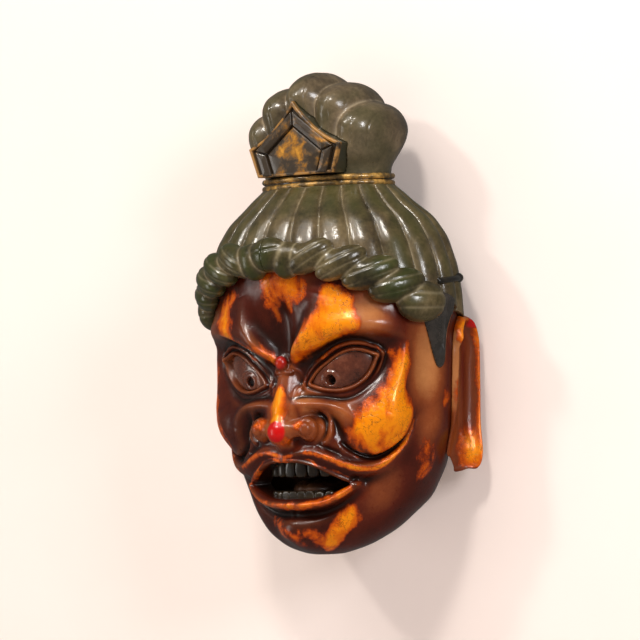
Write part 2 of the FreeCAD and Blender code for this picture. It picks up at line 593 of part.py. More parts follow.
# ---- hanging batten, strap, ring and screws ----
batten_box = box("batten_box", "200", "dims.batten_thick", "dims.batten_tall", "-100", "-dims.batten_back_d - dims.batten_thick", "dims.batten_low_z" + H)
screw_spots = [V["ring_bar_z"] - V["screw_first"], V["ring_bar_z"] - V["screw_second"]]
pilots = [rod("pilot_%d" % i, "dims.screw_rad", "dims.screw_long", (0, -V["batten_back_d"], z), (0, -1, 0)) for i, z in enumerate(screw_spots)]
keep(cut("batten_cut", common("batten_fit", batten_box, hollow_form), pilots + batten_pins), "hanging_batten")

ring = body("ring_body")
path = ring.newObject("Sketcher::SketchObject", "ring_path")
path.AttachmentSupport = [(plane(ring, "XZ_Plane"), "")]
path.MapMode = "FlatFace"
path.setExpression("AttachmentOffset.Base.z", "dims.ring_d")
w, top, bar = V["ring_half_w"], V["ring_up"], V["ring_bar_z"]
c_r = 2.6
cz = top - w  # centre of the top arc
path.addGeometry(Part.LineSegment(Vector(-w + c_r, bar, 0), Vector(w - c_r, bar, 0)), False)
path.addGeometry(Part.ArcOfCircle(Part.Circle(Vector(w - c_r, bar + c_r, 0), Vector(0, 0, 1), c_r), -math.pi / 2, 0), False)
path.addGeometry(Part.LineSegment(Vector(w, bar + c_r, 0), Vector(w, cz, 0)), False)
path.addGeometry(Part.ArcOfCircle(Part.Circle(Vector(0, cz, 0), Vector(0, 0, 1), w), 0, math.pi), False)
path.addGeometry(Part.LineSegment(Vector(-w, cz, 0), Vector(-w, bar + c_r, 0)), False)
path.addGeometry(Part.ArcOfCircle(Part.Circle(Vector(-w + c_r, bar + c_r, 0), Vector(0, 0, 1), c_r), math.pi, 1.5 * math.pi), False)
for c in (("Coincident", 0, 2, 1, 1), ("Coincident", 1, 2, 2, 1), ("Coincident", 2, 2, 3, 1), ("Coincident", 3, 2, 4, 1), ("Coincident", 4, 2, 5, 1), ("Coincident", 5, 2, 0, 1)):
    path.addConstraint(Sketcher.Constraint(*c))
prof = circles(ring, "ring_wire", "YZ_Plane", [("-dims.ring_d", "dims.ring_bar_z", "dims.wire_rad")], "0")
pipe = ring.newObject("PartDesign::AdditivePipe", "RingPipe")
pipe.Profile = prof
pipe.Spine = path
doc.recompute()
keep(ring, "hanging_ring")

strap = body("strap_body")
sleeve = circles(strap, "sleeve", "YZ_Plane", [("-dims.ring_d", "dims.ring_bar_z", "dims.wire_rad + dims.strap_gap + dims.strap_sheet")], "0")
pad(strap, sleeve, "dims.strap_wide", both=True, name="SleevePad")
doc.recompute()
leaf = polygon(strap, "leaf", "YZ_Plane", [
    ("-dims.batten_back_d", "dims.ring_bar_z - dims.strap_long"),
    ("-dims.batten_back_d + 2 * dims.strap_sheet", "dims.ring_bar_z - dims.strap_long"),
    ("-dims.batten_back_d + 2 * dims.strap_sheet", "dims.ring_bar_z"),
    ("-dims.batten_back_d", "dims.ring_bar_z"),
], "0")
pad(strap, leaf, "dims.strap_wide", both=True, name="LeafPad")
doc.recompute()
eye = circles(strap, "bar_bore", "YZ_Plane", [("-dims.ring_d", "dims.ring_bar_z", "dims.wire_rad + dims.strap_gap")], "0")
pocket(strap, eye, "dims.strap_wide + 4", name="BarBore", both=True)
holes = circles(strap, "screw_holes", "XZ_Plane", [("0", "dims.ring_bar_z - dims.screw_first", "dims.screw_rad + 0.1"), ("0", "dims.ring_bar_z - dims.screw_second", "dims.screw_rad + 0.1")], "0")
pocket(strap, holes, "20", name="ScrewHoles", both=True)
strap_shape = common("strap_fit", strap, front_half)
keep(strap_shape, "hanger_strap")

screws = []
for i, z in enumerate(screw_spots):
    shank = rod("screw_shank_%d" % i, "dims.screw_rad", "dims.screw_long + 2 * dims.strap_sheet", (0, -V["batten_back_d"] + 2 * V["strap_sheet"], z), (0, -1, 0))
    head = rod("screw_head_%d" % i, "dims.screw_head", "1.5", (0, -V["batten_back_d"] + 2 * V["strap_sheet"], z), (0, 1, 0))
    slot_a = box("screw_slot_%d" % i, "0.8", "0.9", "8", "-0.4", "%s" % repr(round(-V["batten_back_d"] + 2 * V["strap_sheet"] + 0.7, 4)), repr(round(z - 4, 4)))
    screws.append(cut("screw_%d" % i, fuse("screw_mass_%d" % i, [shank, head]), [slot_a]))
group = doc.addObject("Part::Compound", "screws")
group.Links = screws
keep(group, "hanger_screws")

# ---- dowels and pins ----
for label, members in (("seam_dowels", seam_dowels), ("ear_dowels", ear_pins), ("batten_dowels", batten_pins)):
    g = doc.addObject("Part::Compound", label + "_group")
    g.Links = members
    keep(g, label)
keep(knot_pin, "topknot_dowel")
keep(crown_pin, "crown_dowel")

doc.recompute()
bad = [o.Name for o in doc.Objects if "Invalid" in o.State or "Error" in o.State]
if bad:
    raise RuntimeError("failed objects: %s" % bad)
os.makedirs("parts", exist_ok=True)
for obj in PARTS:
    shape = obj.Shape
    if shape.isNull() or not shape.isValid() or not shape.Solids:
        raise RuntimeError("%s has no valid shape" % obj.Label)
    print("%-20s solids %d volume %10.1f  box %s" % (obj.Label, len(shape.Solids), shape.Volume, [round(v, 1) for v in (shape.BoundBox.XMin, shape.BoundBox.XMax, shape.BoundBox.YMin, shape.BoundBox.YMax, shape.BoundBox.ZMin, shape.BoundBox.ZMax)]))
    shape.exportStep("parts/%s.step" % obj.Label)
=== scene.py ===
"""Looks of the wrathful guardian wall mask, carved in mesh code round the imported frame."""
import math

import bpy
import numpy as np
from mathutils import Matrix, Vector


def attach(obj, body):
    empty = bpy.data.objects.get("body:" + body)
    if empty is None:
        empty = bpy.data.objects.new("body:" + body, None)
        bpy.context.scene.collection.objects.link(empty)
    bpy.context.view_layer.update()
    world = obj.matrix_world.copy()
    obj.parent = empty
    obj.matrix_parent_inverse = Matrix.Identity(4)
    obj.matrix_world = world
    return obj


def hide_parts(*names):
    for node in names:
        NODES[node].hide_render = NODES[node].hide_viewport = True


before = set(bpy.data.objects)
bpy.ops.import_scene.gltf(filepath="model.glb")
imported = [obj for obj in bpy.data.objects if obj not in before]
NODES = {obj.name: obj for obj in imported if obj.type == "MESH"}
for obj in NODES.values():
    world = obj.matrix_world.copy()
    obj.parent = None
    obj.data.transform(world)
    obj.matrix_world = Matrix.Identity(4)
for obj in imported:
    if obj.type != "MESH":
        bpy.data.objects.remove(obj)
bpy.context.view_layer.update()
FINE = 1.0  # grid coarsening while trying things
HANG = 190.0  # height of the row's origin above the chin, mm

# ---------------------------------------------------------------- tables of the head's form, mm
HEAD = np.array([
    (0, 14, 12, 62), (5, 26, 24, 60), (15, 42, 38, 54), (34, 60, 50, 44), (53, 70, 54, 42), (79, 79, 57, 42),
    (97, 82, 58, 42), (123, 84, 59, 42), (142, 84, 60, 42), (161, 84, 60, 43), (178, 82, 60, 44), (195, 76, 58, 44),
    (209, 67.5, 52, 44), (219, 56, 43, 45), (226, 49, 36, 45), (231.5, 44, 30, 45), (250, 40, 28, 45)], float)
HOLLOW = np.array([
    (13, 27, 23, 50), (34, 50, 45, 39), (53, 60, 49, 37), (79, 69, 52, 37), (97, 72, 53, 37), (123, 74, 54, 37),
    (142, 74, 55, 37), (161, 74, 55, 38), (178, 72, 55, 39), (195, 66, 53, 39), (206, 58, 48, 40), (215, 46, 38, 42)], float)


class Levels:
    """Half width, half depth and centre depth of level ellipses, smoothed over height."""

    def __init__(self, rows, z0, z1, sigma=3.0):
        self.z0 = z0
        zs = np.arange(z0, z1 + 0.25, 0.5)
        n = 14
        kernel = np.exp(-0.5 * ((np.arange(-n, n + 1) * 0.5) / sigma) ** 2)
        kernel /= kernel.sum()
        self.cols, self.slopes = [], []
        for i in (1, 2, 3):
            v = np.interp(zs, rows[:, 0], rows[:, i])
            v = np.convolve(np.pad(v, n, mode="reflect", reflect_type="odd"), kernel, "valid")
            self.cols.append(v)
            self.slopes.append(np.gradient(v, 0.5))
        self.last = len(zs) - 1.001

    def at(self, z):
        s = np.clip((z - self.z0) / 0.5, 0, self.last)
        i = s.astype(int)
        f = s - i
        return [c[i] * (1 - f) + c[i + 1] * f for c in self.cols + self.slopes]

    def dist(self, x, y, z, grow=0.0):
        """Distance to the form (negative inside) and the angle round it from the front."""
        a, b, c, da, db, dc = self.at(z)
        a = a + grow
        b = b + grow
        u, v = x / a, (y + c) / b
        q = np.sqrt(u * u + v * v) + 1e-9
        gx, gy = u / a, v / b
        gz = -(u * u * da / a + v * v * db / b - v * dc / b)
        g = np.sqrt(gx * gx + gy * gy + gz * gz) / q
        return (q - 1) / np.maximum(g, 1e-6), np.arctan2(u, -v)


head = Levels(HEAD, -4, 250)
hollow = Levels(HOLLOW, 10, 218)


def smin(a, b, k):
    h = np.clip(0.5 + 0.5 * (b - a) / k, 0, 1)
    return b * (1 - h) + a * h - k * h * (1 - h)


def smax(a, b, k):
    return -smin(-a, -b, k)


def step(a, b, v):
    s = np.clip((v - a) / (b - a), 0, 1)
    return s * s * (3 - 2 * s)


def noise3(x, y, z, scale, seed):
    """Smooth value noise from hashed lattice points, -1 to 1."""
    x, y, z = x / scale, y / scale, z / scale
    ix, iy, iz = np.floor(x).astype(np.int64), np.floor(y).astype(np.int64), np.floor(z).astype(np.int64)
    fx, fy, fz = x - ix, y - iy, z - iz
    fx, fy, fz = fx * fx * (3 - 2 * fx), fy * fy * (3 - 2 * fy), fz * fz * (3 - 2 * fz)

    def rnd(i, j, k):
        n = (i * 73856093) ^ (j * 19349663) ^ (k * 83492791) ^ (seed * 2654435761)
        n = (n ^ (n >> 13)) * 1274126177 & 0xFFFFFFFF
        n = n ^ (n >> 16)
        return (n & 0xFFFF) / 32767.5 - 1.0

    out = 0.0
    for a in (0, 1):
        for b in (0, 1):
            for c in (0, 1):
                w = (fx if a else 1 - fx) * (fy if b else 1 - fy) * (fz if c else 1 - fz)
                out = out + w * rnd(ix + a, iy + b, iz + c)
    return out


# ---------------------------------------------------------------- solid primitives, mm, heights above the chin
def ellipsoid(x, y, z, centre, radii, turn=None):
    dx, dy, dz = x - centre[0], y - centre[1], z - centre[2]
    if turn is not None:
        m = np.array(turn)
        dx, dy, dz = (m[0][0] * dx + m[0][1] * dy + m[0][2] * dz, m[1][0] * dx + m[1][1] * dy + m[1][2] * dz, m[2][0] * dx + m[2][1] * dy + m[2][2] * dz)
    a, b, c = radii
    k0 = np.sqrt((dx / a) ** 2 + (dy / b) ** 2 + (dz / c) ** 2)
    k1 = np.sqrt((dx / a / a) ** 2 + (dy / b / b) ** 2 + (dz / c / c) ** 2)
    return k0 * (k0 - 1) / np.maximum(k1, 1e-6)


def cone(x, y, z, p, q, rp, rq):
    """Rod with round ends whose radius runs from rp to rq."""
    p, q = np.array(p, float), np.array(q, float)
    d = q - p
    t = np.clip(((x - p[0]) * d[0] + (y - p[1]) * d[1] + (z - p[2]) * d[2]) / (d @ d), 0, 1)
    return np.sqrt((x - p[0] - d[0] * t) ** 2 + (y - p[1] - d[1] * t) ** 2 + (z - p[2] - d[2] * t) ** 2) - (rp + (rq - rp) * t)


def seam(y, z):
    """Signed distance above the seam plane between the face block and the hair block."""
    a = math.radians(24)
    return (z - 184) * math.cos(a) + (y + 104) * math.sin(a)


# ---------------------------------------------------------------- meshing of a solid form
def nets(form, lo, hi, h, refine=2):
    """Quad mesh of form(x, y, z) = 0 inside a box, with unit normals; surface nets on a narrow band."""
    h = h * FINE
    lo, hi = np.array(lo, float), np.array(hi, float)
    n = np.ceil((hi - lo) / h).astype(int) + 1
    k = 4
    nb = -(-n // k)
    bc = [lo[i] + (np.arange(nb[i]) + 0.5) * k * h - h / 2 for i in range(3)]
    bx, by, bz = np.meshgrid(*bc, indexing="ij")
    coarse = form(bx.ravel(), by.ravel(), bz.ravel()).reshape(nb)
    near = np.abs(coarse) < k * h * 1.5 + 2.0
    sign = np.where(coarse < 0, -9.0, 9.0).astype(np.float32)
    fine = np.repeat(np.repeat(np.repeat(sign, k, 0), k, 1), k, 2)[: n[0], : n[1], : n[2]].copy()
    mask = np.repeat(np.repeat(np.repeat(near, k, 0), k, 1), k, 2)[: n[0], : n[1], : n[2]]
    where = np.argwhere(mask)
    vals = np.empty(len(where), np.float32)
    for i in range(0, len(where), 300000):
        p = lo + where[i : i + 300000] * h
        vals[i : i + 300000] = form(p[:, 0], p[:, 1], p[:, 2])
    fine[mask] = vals
    del vals
    inside = fine < 0
    c = np.zeros(np.array(inside.shape) - 1, np.uint8)
    for a in (0, 1):
        for b in (0, 1):
            for d in (0, 1):
                c += inside[a : a + c.shape[0], b : b + c.shape[1], d : d + c.shape[2]]
    cells = np.argwhere((c > 0) & (c < 8))
    ids = np.full(c.shape, -1, np.int64)
    ids[cells[:, 0], cells[:, 1], cells[:, 2]] = np.arange(len(cells))
    acc = np.zeros((len(cells), 3))
    cnt = np.zeros(len(cells))
    corners = [(a, b, d) for a in (0, 1) for b in (0, 1) for d in (0, 1)]
    val = {q: fine[cells[:, 0] + q[0], cells[:, 1] + q[1], cells[:, 2] + q[2]].astype(float) for q in corners}
    for q in corners:
        for ax in range(3):
            if q[ax]:
                continue
            r = list(q)
            r[ax] = 1
            r = tuple(r)
            fa, fb = val[q], val[r]
            m = (fa < 0) != (fb < 0)
            t = np.zeros(len(fa))
            t[m] = fa[m] / (fa[m] - fb[m])
            pos = np.array(q, float)[None, :].repeat(len(fa), 0)
            pos[:, ax] += t
            acc[m] += pos[m]
            cnt[m] += 1
    verts = lo + (cells + acc / cnt[:, None]) * h
    quads = []
    for ax in range(3):
        o1, o2 = (ax + 1) % 3, (ax + 2) % 3
        sl0 = [slice(None)] * 3
        sl1 = [slice(None)] * 3
        sl0[ax], sl1[ax] = slice(0, -1), slice(1, None)
        for o in (o1, o2):
            sl0[o] = slice(1, -1)
            sl1[o] = slice(1, -1)
        s0, s1 = inside[tuple(sl0)], inside[tuple(sl1)]
        e = np.argwhere(s0 != s1)
        base = e.copy()
        base[:, o1] += 1
        base[:, o2] += 1
        out = s0[e[:, 0], e[:, 1], e[:, 2]]
        ring = []
        for d1, d2 in ((0, 0), (-1, 0), (-1, -1), (0, -1)):
            cc = base.copy()
            cc[:, o1] += d1
            cc[:, o2] += d2
            ring.append(ids[cc[:, 0], cc[:, 1], cc[:, 2]])
        ring = np.stack(ring, 1)
        ring[~out] = ring[~out][:, ::-1]
        quads.append(ring)
    quads = np.concatenate(quads)
    quads = quads[(quads >= 0).all(1)]

    def grad(p, e):
        g = np.empty_like(p)
        for ax in range(3):
            d = np.zeros(3)
            d[ax] = e
            a, b = p + d, p - d
            g[:, ax] = (form(a[:, 0], a[:, 1], a[:, 2]) - form(b[:, 0], b[:, 1], b[:, 2])) / (2 * e)
        return g

    for _ in range(refine):
        f = form(verts[:, 0], verts[:, 1], verts[:, 2])
        g = grad(verts, 0.3 * h)
        move = -f[:, None] * g / np.maximum((g * g).sum(1), 0.05)[:, None]
        length = np.linalg.norm(move, axis=1)
        move *= np.minimum(1, 0.6 * h / np.maximum(length, 1e-9))[:, None]
        verts = verts + move
    g = grad(verts, 0.35 * h)
    normals = g / np.maximum(np.linalg.norm(g, axis=1), 1e-9)[:, None]
    return verts, quads, normals


def to_object(name, verts, faces, normals=None, marks=None, mat=None, body="mask", replace=()):
    """Makes a shown piece from points in mm with heights above the chin."""
    me = bpy.data.meshes.new(name)
    co = np.array(verts, float).copy()
    co[:, 2] -= HANG
    co /= 1000.0
    faces = [np.asarray(f) for f in (faces if isinstance(faces, list) else [faces]) if len(f)]
    me.vertices.add(len(co))
    me.vertices.foreach_set("co", co.astype(np.float32).ravel())
    loops = np.concatenate([f.ravel() for f in faces])
    counts = np.concatenate([np.full(len(f), f.shape[1]) for f in faces])
    me.loops.add(len(loops))
    me.loops.foreach_set("vertex_index", loops.astype(np.int32))
    me.polygons.add(len(counts))
    me.polygons.foreach_set("loop_start", np.concatenate([[0], np.cumsum(counts)[:-1]]).astype(np.int32))
    me.update(calc_edges=True)
    me.polygons.foreach_set("use_smooth", np.ones(len(counts), bool))
    for key, v in (marks or {}).items():
        at = me.attributes.new(key, "FLOAT", "POINT")
        at.data.foreach_set("value", np.asarray(v, np.float32))
    if normals is not None:
        me.normals_split_custom_set_from_vertices(np.asarray(normals, np.float32))
    me.update()
    ob = bpy.data.objects.new(name, me)
    bpy.context.scene.collection.objects.link(ob)
    if mat is not None:
        me.materials.append(mat)
    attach(ob, body)
    if replace:
        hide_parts(*replace)
    return ob


# ---------------------------------------------------------------- relief map of the face
# t = 80 x angle round the head from the front (about mm of arc), z = height above the chin
T0, Z0, RES = -120.0, -10.0, 0.5
tg = np.arange(T0, 195, RES)
zg = np.arange(Z0, 206, RES)
GT, GZ = np.meshgrid(tg, zg, indexing="ij")


def curve(points, closed=False, step_mm=1.5):
    p = np.array(points, float)
    n = len(p)
    out = []
    for i in range(n if closed else n - 1):
        if closed:
            a, b, c, d = p[i - 1], p[i], p[(i + 1) % n], p[(i + 2) % n]
        else:
            b, c = p[i], p[i + 1]
            a = p[i - 1] if i else 2 * b - c
            d = p[i + 2] if i + 2 < n else 2 * c - b
        m = max(2, int(np.hypot(*(c - b)[:2]) / step_mm))
        for j in range(m):
            s = j / m
            out.append(0.5 * (2 * b + (c - a) * s + (2 * a - 5 * b + 4 * c - d) * s * s + (3 * b - a - 3 * c + d) * s ** 3))
    if not closed:
        out.append(p[-1])
    return np.array(out)


def nearest(path, reach, closed=False):
    """Distance, side (+1 left of the path's direction) and the path's other columns for every cell near a path."""
    dist = np.full(GT.shape, 1e3)
    side = np.ones(GT.shape)
    extra = [np.zeros(GT.shape) for _ in range(path.shape[1] - 2)]
    n = len(path)
    for i in range(n if closed else n - 1):
        a, b = path[i], path[(i + 1) % n]
        i0 = max(0, int((min(a[0], b[0]) - reach - T0) / RES))
        i1 = min(len(tg), int((max(a[0], b[0]) + reach - T0) / RES) + 2)
        j0 = max(0, int((min(a[1], b[1]) - reach - Z0) / RES))
        j1 = min(len(zg), int((max(a[1], b[1]) + reach - Z0) / RES) + 2)
        if i1 <= i0 or j1 <= j0:
            continue
        w = (slice(i0, i1), slice(j0, j1))
        dx, dy = b[0] - a[0], b[1] - a[1]
        px, py = GT[w] - a[0], GZ[w] - a[1]
        s = np.clip((px * dx + py * dy) / max(dx * dx + dy * dy, 1e-9), 0, 1)
        d = np.hypot(px - dx * s, py - dy * s)
        m = d < dist[w]
        dist[w][m] = d[m]
        cr = np.where(dx * py - dy * px >= 0, 1.0, -1.0)
        side[w][m] = cr[m]
        for k, e in enumerate(extra):
            v = a[2 + k] + (b[2 + k] - a[2 + k]) * s
            e[w][m] = v[m]
    return dist, side, extra


def ridge(points, sharp=2.0):
    """Raised (or with a negative amount sunk) stroke; rows are t, z, amount, width on the left, width on the right."""
    d, side, (amount, wl, wr) = nearest(curve(points), 34)
    w = np.where(side > 0, wl, wr)
    return amount * np.exp(-np.abs(d / np.maximum(w, 0.3)) ** sharp)


def blob(t, z, rt, rz, amount, turn=0.0, sharp=2.0):
    a = math.radians(turn)
    dt, dz = GT - t, GZ - z
    u = (dt * math.cos(a) + dz * math.sin(a)) / rt
    v = (-dt * math.sin(a) + dz * math.cos(a)) / rz
    return amount * np.exp(-np.sqrt(u * u + v * v) ** sharp)


def outline(points):
    """Signed distance to a closed curve on the map, negative inside."""
    path = curve(points, closed=True, step_mm=1.0)
    d, _, _ = nearest(path, 40, closed=True)
    inside = np.zeros(GT.shape, bool)
    n = len(path)
    for i in range(n):
        (x1, y1), (x2, y2) = path[i][:2], path[(i + 1) % n][:2]
        if y1 == y2:
            continue
        m = ((y1 > GZ) != (y2 > GZ)) & (GT < (x2 - x1) * (GZ - y1) / (y2 - y1) + x1)
        inside ^= m
    return np.where(inside, -d, d)


def blur(m, sigma):
    n = int(3 * sigma / RES)
    k = np.exp(-0.5 * ((np.arange(-n, n + 1) * RES) / sigma) ** 2)
    k /= k.sum()
    for ax in (0, 1):
        pad = [(0, 0), (0, 0)]
        pad[ax] = (n, n)
        q = np.pad(m, pad, mode="edge")
        m = sum(w * np.take(q, range(i, i + m.shape[ax]), axis=ax) for i, w in enumerate(k))
    return m


def look(m, t, z):
    a = np.clip((t - T0) / RES, 0, m.shape[0] - 1.001)
    b = np.clip((z - Z0) / RES, 0, m.shape[1] - 1.001)
    i, j = a.astype(int), b.astype(int)
    f, g = a - i, b - j
    return (m[i, j] * (1 - g) + m[i, j + 1] * g) * (1 - f) + (m[i + 1, j] * (1 - g) + m[i + 1, j + 1] * g) * f


def folded(m):
    """Adds the map's own mirror image, so that both sides of the face match."""
    mirror = np.zeros_like(m)
    i = np.round((-tg - T0) / RES).astype(int)
    ok = (i >= 0) & (i < len(tg))
    mirror[ok] = m[i[ok]]
    return m + mirror


EYE = [(13.5, 108.5), (17.5, 114.5), (23, 119.5), (29, 123.3), (35, 127), (41.5, 129.8), (48.5, 131.2), (56, 130.6), (62, 128.8), (67.5, 126.3),
       (65.8, 120.5), (62.8, 115.3), (59, 111.2), (54, 107.8), (48.5, 105.3), (43, 103.9), (37, 103.2), (31, 103.4), (25, 104.3), (19, 106)]
EYE = [(40.6 + (t - 40.3) * 0.90, 116.6 + (z - 117) * 0.94) for t, z in EYE]
MOUTH_R = [(0, 60.4), (9, 60.2), (16, 58.8), (23, 56.4), (29, 53.8), (35, 51.2), (41, 48.8), (47.5, 46.2), (42, 43.4), (36.5, 41.7), (31, 40.2), (24, 38.8), (16, 38.0), (8, 37.7), (0, 37.7)]
MOUTH = MOUTH_R + [(-t, z) for t, z in MOUTH_R[::-1][1:-1]]
g_eye = outline(EYE) + 1.9
g_mouth = outline(MOUTH)

relief = np.zeros(GT.shape)
# forehead: boss in the middle, lumps over the brows, frown hollow
relief += blob(0, 170, 15, 13, 1.4)
relief += blob(0, 146, 9.0, 18, -3.6)
relief += blob(-1, 132, 7, 8, -1.3)
relief += blob(41, 153, 21, 15, 4.4, turn=-18)
relief += blob(72, 150, 14, 12, 1.8)
# frown ridges and brow masses
relief += ridge([(7.5, 125, 4.2, 2.8, 4.0), (9.8, 128.5, 7.6, 2.8, 5.5), (13.5, 134, 8.4, 3.0, 6.5), (18, 140, 7.8, 3.4, 8), (22.5, 147, 6.0, 4.2, 10), (26, 155, 3.0, 6, 12), (29, 164, 0.8, 8, 12)])
relief += ridge([(10, 128, 0, 5, 3), (17, 130, 3.0, 7, 2.8), (25, 133.5, 4.6, 8.5, 2.8), (33, 138, 5.4, 9, 3.0), (43, 141.5, 5.8, 9, 3.2), (54, 142.4, 5.6, 9, 3.4), (64, 141.6, 5.0, 9, 3.6), (74, 139.5, 3.4, 9, 4), (84, 137, 1.4, 9, 5), (92, 135, 0, 9, 6)], 2.3)
# eye sockets
relief += blob(40, 118, 35, 18.5, -5.8, turn=8, sharp=3.4)
relief += blob(12, 115, 6.5, 9, -2.6)
# lids: rim round the opening, then a crease, then the outer fold
gg = np.clip(g_eye, -3, 40)
upper = step(103, 116, GZ - 0.13 * (GT - 40))
relief += (2.6 + 1.0 * upper) * np.exp(-np.abs((gg - 1.0) / 1.7) ** 2.4) * (GT > 5)
relief += -(0.3 + 0.8 * upper) * np.exp(-((gg - 3.2) / 0.8) ** 2)
relief += (0.2 + 1.9 * upper) * np.exp(-((gg - 5.0) / 1.5) ** 2)
relief += -1.1 * np.exp(-((gg - 7.6) / 1.7) ** 2) * upper
relief += ridge([(62, 124.5, 1.4, 2.2, 2.0), (68, 126, 1.5, 1.8, 1.8), (75, 128, 0.3, 2, 2)])
relief += ridge([(13, 108.5, 1.6, 1.6, 1.6), (9.5, 105, 1.5, 1.6, 1.6), (8.5, 100, 0.2, 1.6, 1.6)])
relief += ridge([(5, 119.5, 1.2, 1.4, 1.4), (10, 116.5, 1.5, 1.4, 1.4), (13, 112, 0.8, 1.4, 1.4)])
# fold under the eye, and the creases above and below it
relief += ridge([(7, 100, -1.2, 1.5, 1.5), (14, 100.8, -1.8, 1.6, 1.6), (26, 100.2, -2.0, 1.7, 1.7), (40, 98.8, -2.0, 1.8, 1.8), (50, 101, -1.6, 1.8, 1.8), (59, 107, -1.0, 1.8, 1.8), (66, 114, -0.2, 1.8, 1.8)])
relief += ridge([(9, 96, 2.2, 3.5, 3.2), (16, 96.8, 3.6, 3.8, 3.6), (27, 96.2, 4.0, 4.0, 4.0), (36, 93.6, 3.6, 4.0, 4.4), (43, 88.5, 2.6, 4, 4.6), (46, 82, 1.0, 4, 5)])
relief += ridge([(16, 89.5, -0.6, 3, 3), (26, 88.5, -2.6, 3.4, 4), (34, 84.5, -3.2, 3.6, 4.2), (39, 77.5, -3.2, 3.6, 4.2), (42, 71.5, -2.2, 3, 3.6), (45, 68, -1.0, 3, 3)])
relief += ridge([(25, 93.5, 0.3, 1.6, 1.6), (29.5, 89.5, 1.5, 1.7, 1.7), (32.4, 83, 2.2, 1.8, 1.8), (31.4, 76, 1.8, 1.7, 1.7), (27, 70.5, 0.4, 1.6, 1.6)])
relief += ridge([(24, 91, -0.6, 1.4, 1.4), (28, 86, -1.6, 1.5, 1.5), (28.6, 79, -1.8, 1.5, 1.5), (25, 73, -0.8, 1.4, 1.4)])
# cheekbone crest and cheek
relief += ridge([(82.5, 134, 1.2, 5, 6), (82, 127, 2.8, 5.5, 8), (79.5, 117, 3.8, 6.5, 10), (75, 107, 4.2, 8, 11), (70, 99, 3.6, 9, 12), (66, 92, 1.4, 9, 12)])
relief += blob(65, 82, 20, 15, 6.6, turn=14, sharp=2.6)
relief += blob(84, 88, 13, 15, 1.6)
# hollow behind the cheekbone and at the temple
relief += blob(101, 118, 12, 24, -2.2)
relief += blob(96, 84, 9, 16, -1.0, turn=-10)
# crease under the cheek, then the moustache fold
relief += ridge([(40, 71.5, -1.0, 1.6, 1.6), (46.5, 67.4, -2.8, 1.5, 1.7), (55, 63.8, -4.0, 1.5, 1.9), (63, 62.4, -4.4, 1.5, 2.0), (70.5, 63.6, -4.4, 1.6, 2.1), (78, 67, -3.8, 1.6, 2.2), (85, 72.5, -2.8, 1.8, 2.6), (90, 80, -1.6, 2, 3), (93, 89, -0.3, 2, 3)])
relief += ridge([(0, 64.0, 0.8, 3, 2.6), (6, 65.2, 1.5, 3, 3.4), (16.5, 67.0, 2.2, 3.0, 4.0), (24, 65.8, 2.6, 2.8, 4.4), (31, 63.2, 3.2, 2.6, 5), (42, 59.2, 4.0, 2.4, 5.5), (56, 57.0, 4.2, 2.2, 6), (68, 58.2, 3.8, 2.2, 6.5), (78, 63.2, 3.0, 2.4, 7), (86, 71, 1.8, 2.6, 7), (92, 80, 0.3, 3, 7)])
relief += ridge([(24, 71, -1.2, 2, 2), (30, 68.6, -1.6, 2, 2), (37, 66, -1.2, 2, 2)])
# muzzle, lips, mouth corners
relief += blob(0, 56, 38, 22, 2.4, sharp=2.6)
gm = np.clip(g_mouth, -3, 40)
top_half = step(44, 50, GZ)
relief += 1.5 * np.exp(-np.abs((gm - 0.8) / 1.5) ** 2.2) * top_half * (0.5 + 0.5 * np.sign(np.round(GT, 3)))
relief += ridge([(46, 50.2, 0.0, 2, 2), (53, 49.4, -2.6, 2.2, 2.4), (61, 48.6, -3.0, 3.0, 3.4), (70, 50, -2.0, 4, 4), (80, 54, -0.6, 4, 4)])
relief += ridge([(0, 33.6, 2.6, 3.4, 3.2), (8, 33.6, 5.2, 3.4, 3.2), (17, 33.9, 5.4, 3.4, 3.3), (27, 35.0, 5.4, 3.2, 3.3), (35, 37.2, 5.0, 3.0, 3.4), (42, 40.4, 4.2, 2.8, 3.6), (49, 44.0, 3.0, 2.4, 3.8), (55, 48.6, 1.4, 2.4, 4)])
relief += ridge([(0, 27.6, -1.5, 3, 3), (12, 27.6, -3.2, 3, 3.2), (26, 28.4, -3.4, 3, 3.4), (38, 31, -2.8, 3.2, 3.6), (50, 36, -2.0, 3.6, 4), (62, 43, -1.0, 4, 4)])
# chin and jaw
relief += blob(0, 17, 25, 10, 2.6, sharp=2.6)
relief += blob(62, 26, 16, 12, 1.6)
relief += blob(110, 62, 13, 22, 2.0, turn=-8)
relief = folded(relief)
relief = np.where(relief < -3, -3 - 3.0 * np.tanh((-relief - 3) / 3.0), np.minimum(relief, 12))
# height below the blurred relief, positive in hollows: drives the painted shade in recesses and the wear on crests
cavity = blur(relief, 2.2) - relief
cavity_wide = blur(relief, 5.5) - relief

# ---------------------------------------------------------------- painted and gilded zones of the face
def patch(points, soft):
    return step(soft, -soft, outline(points))


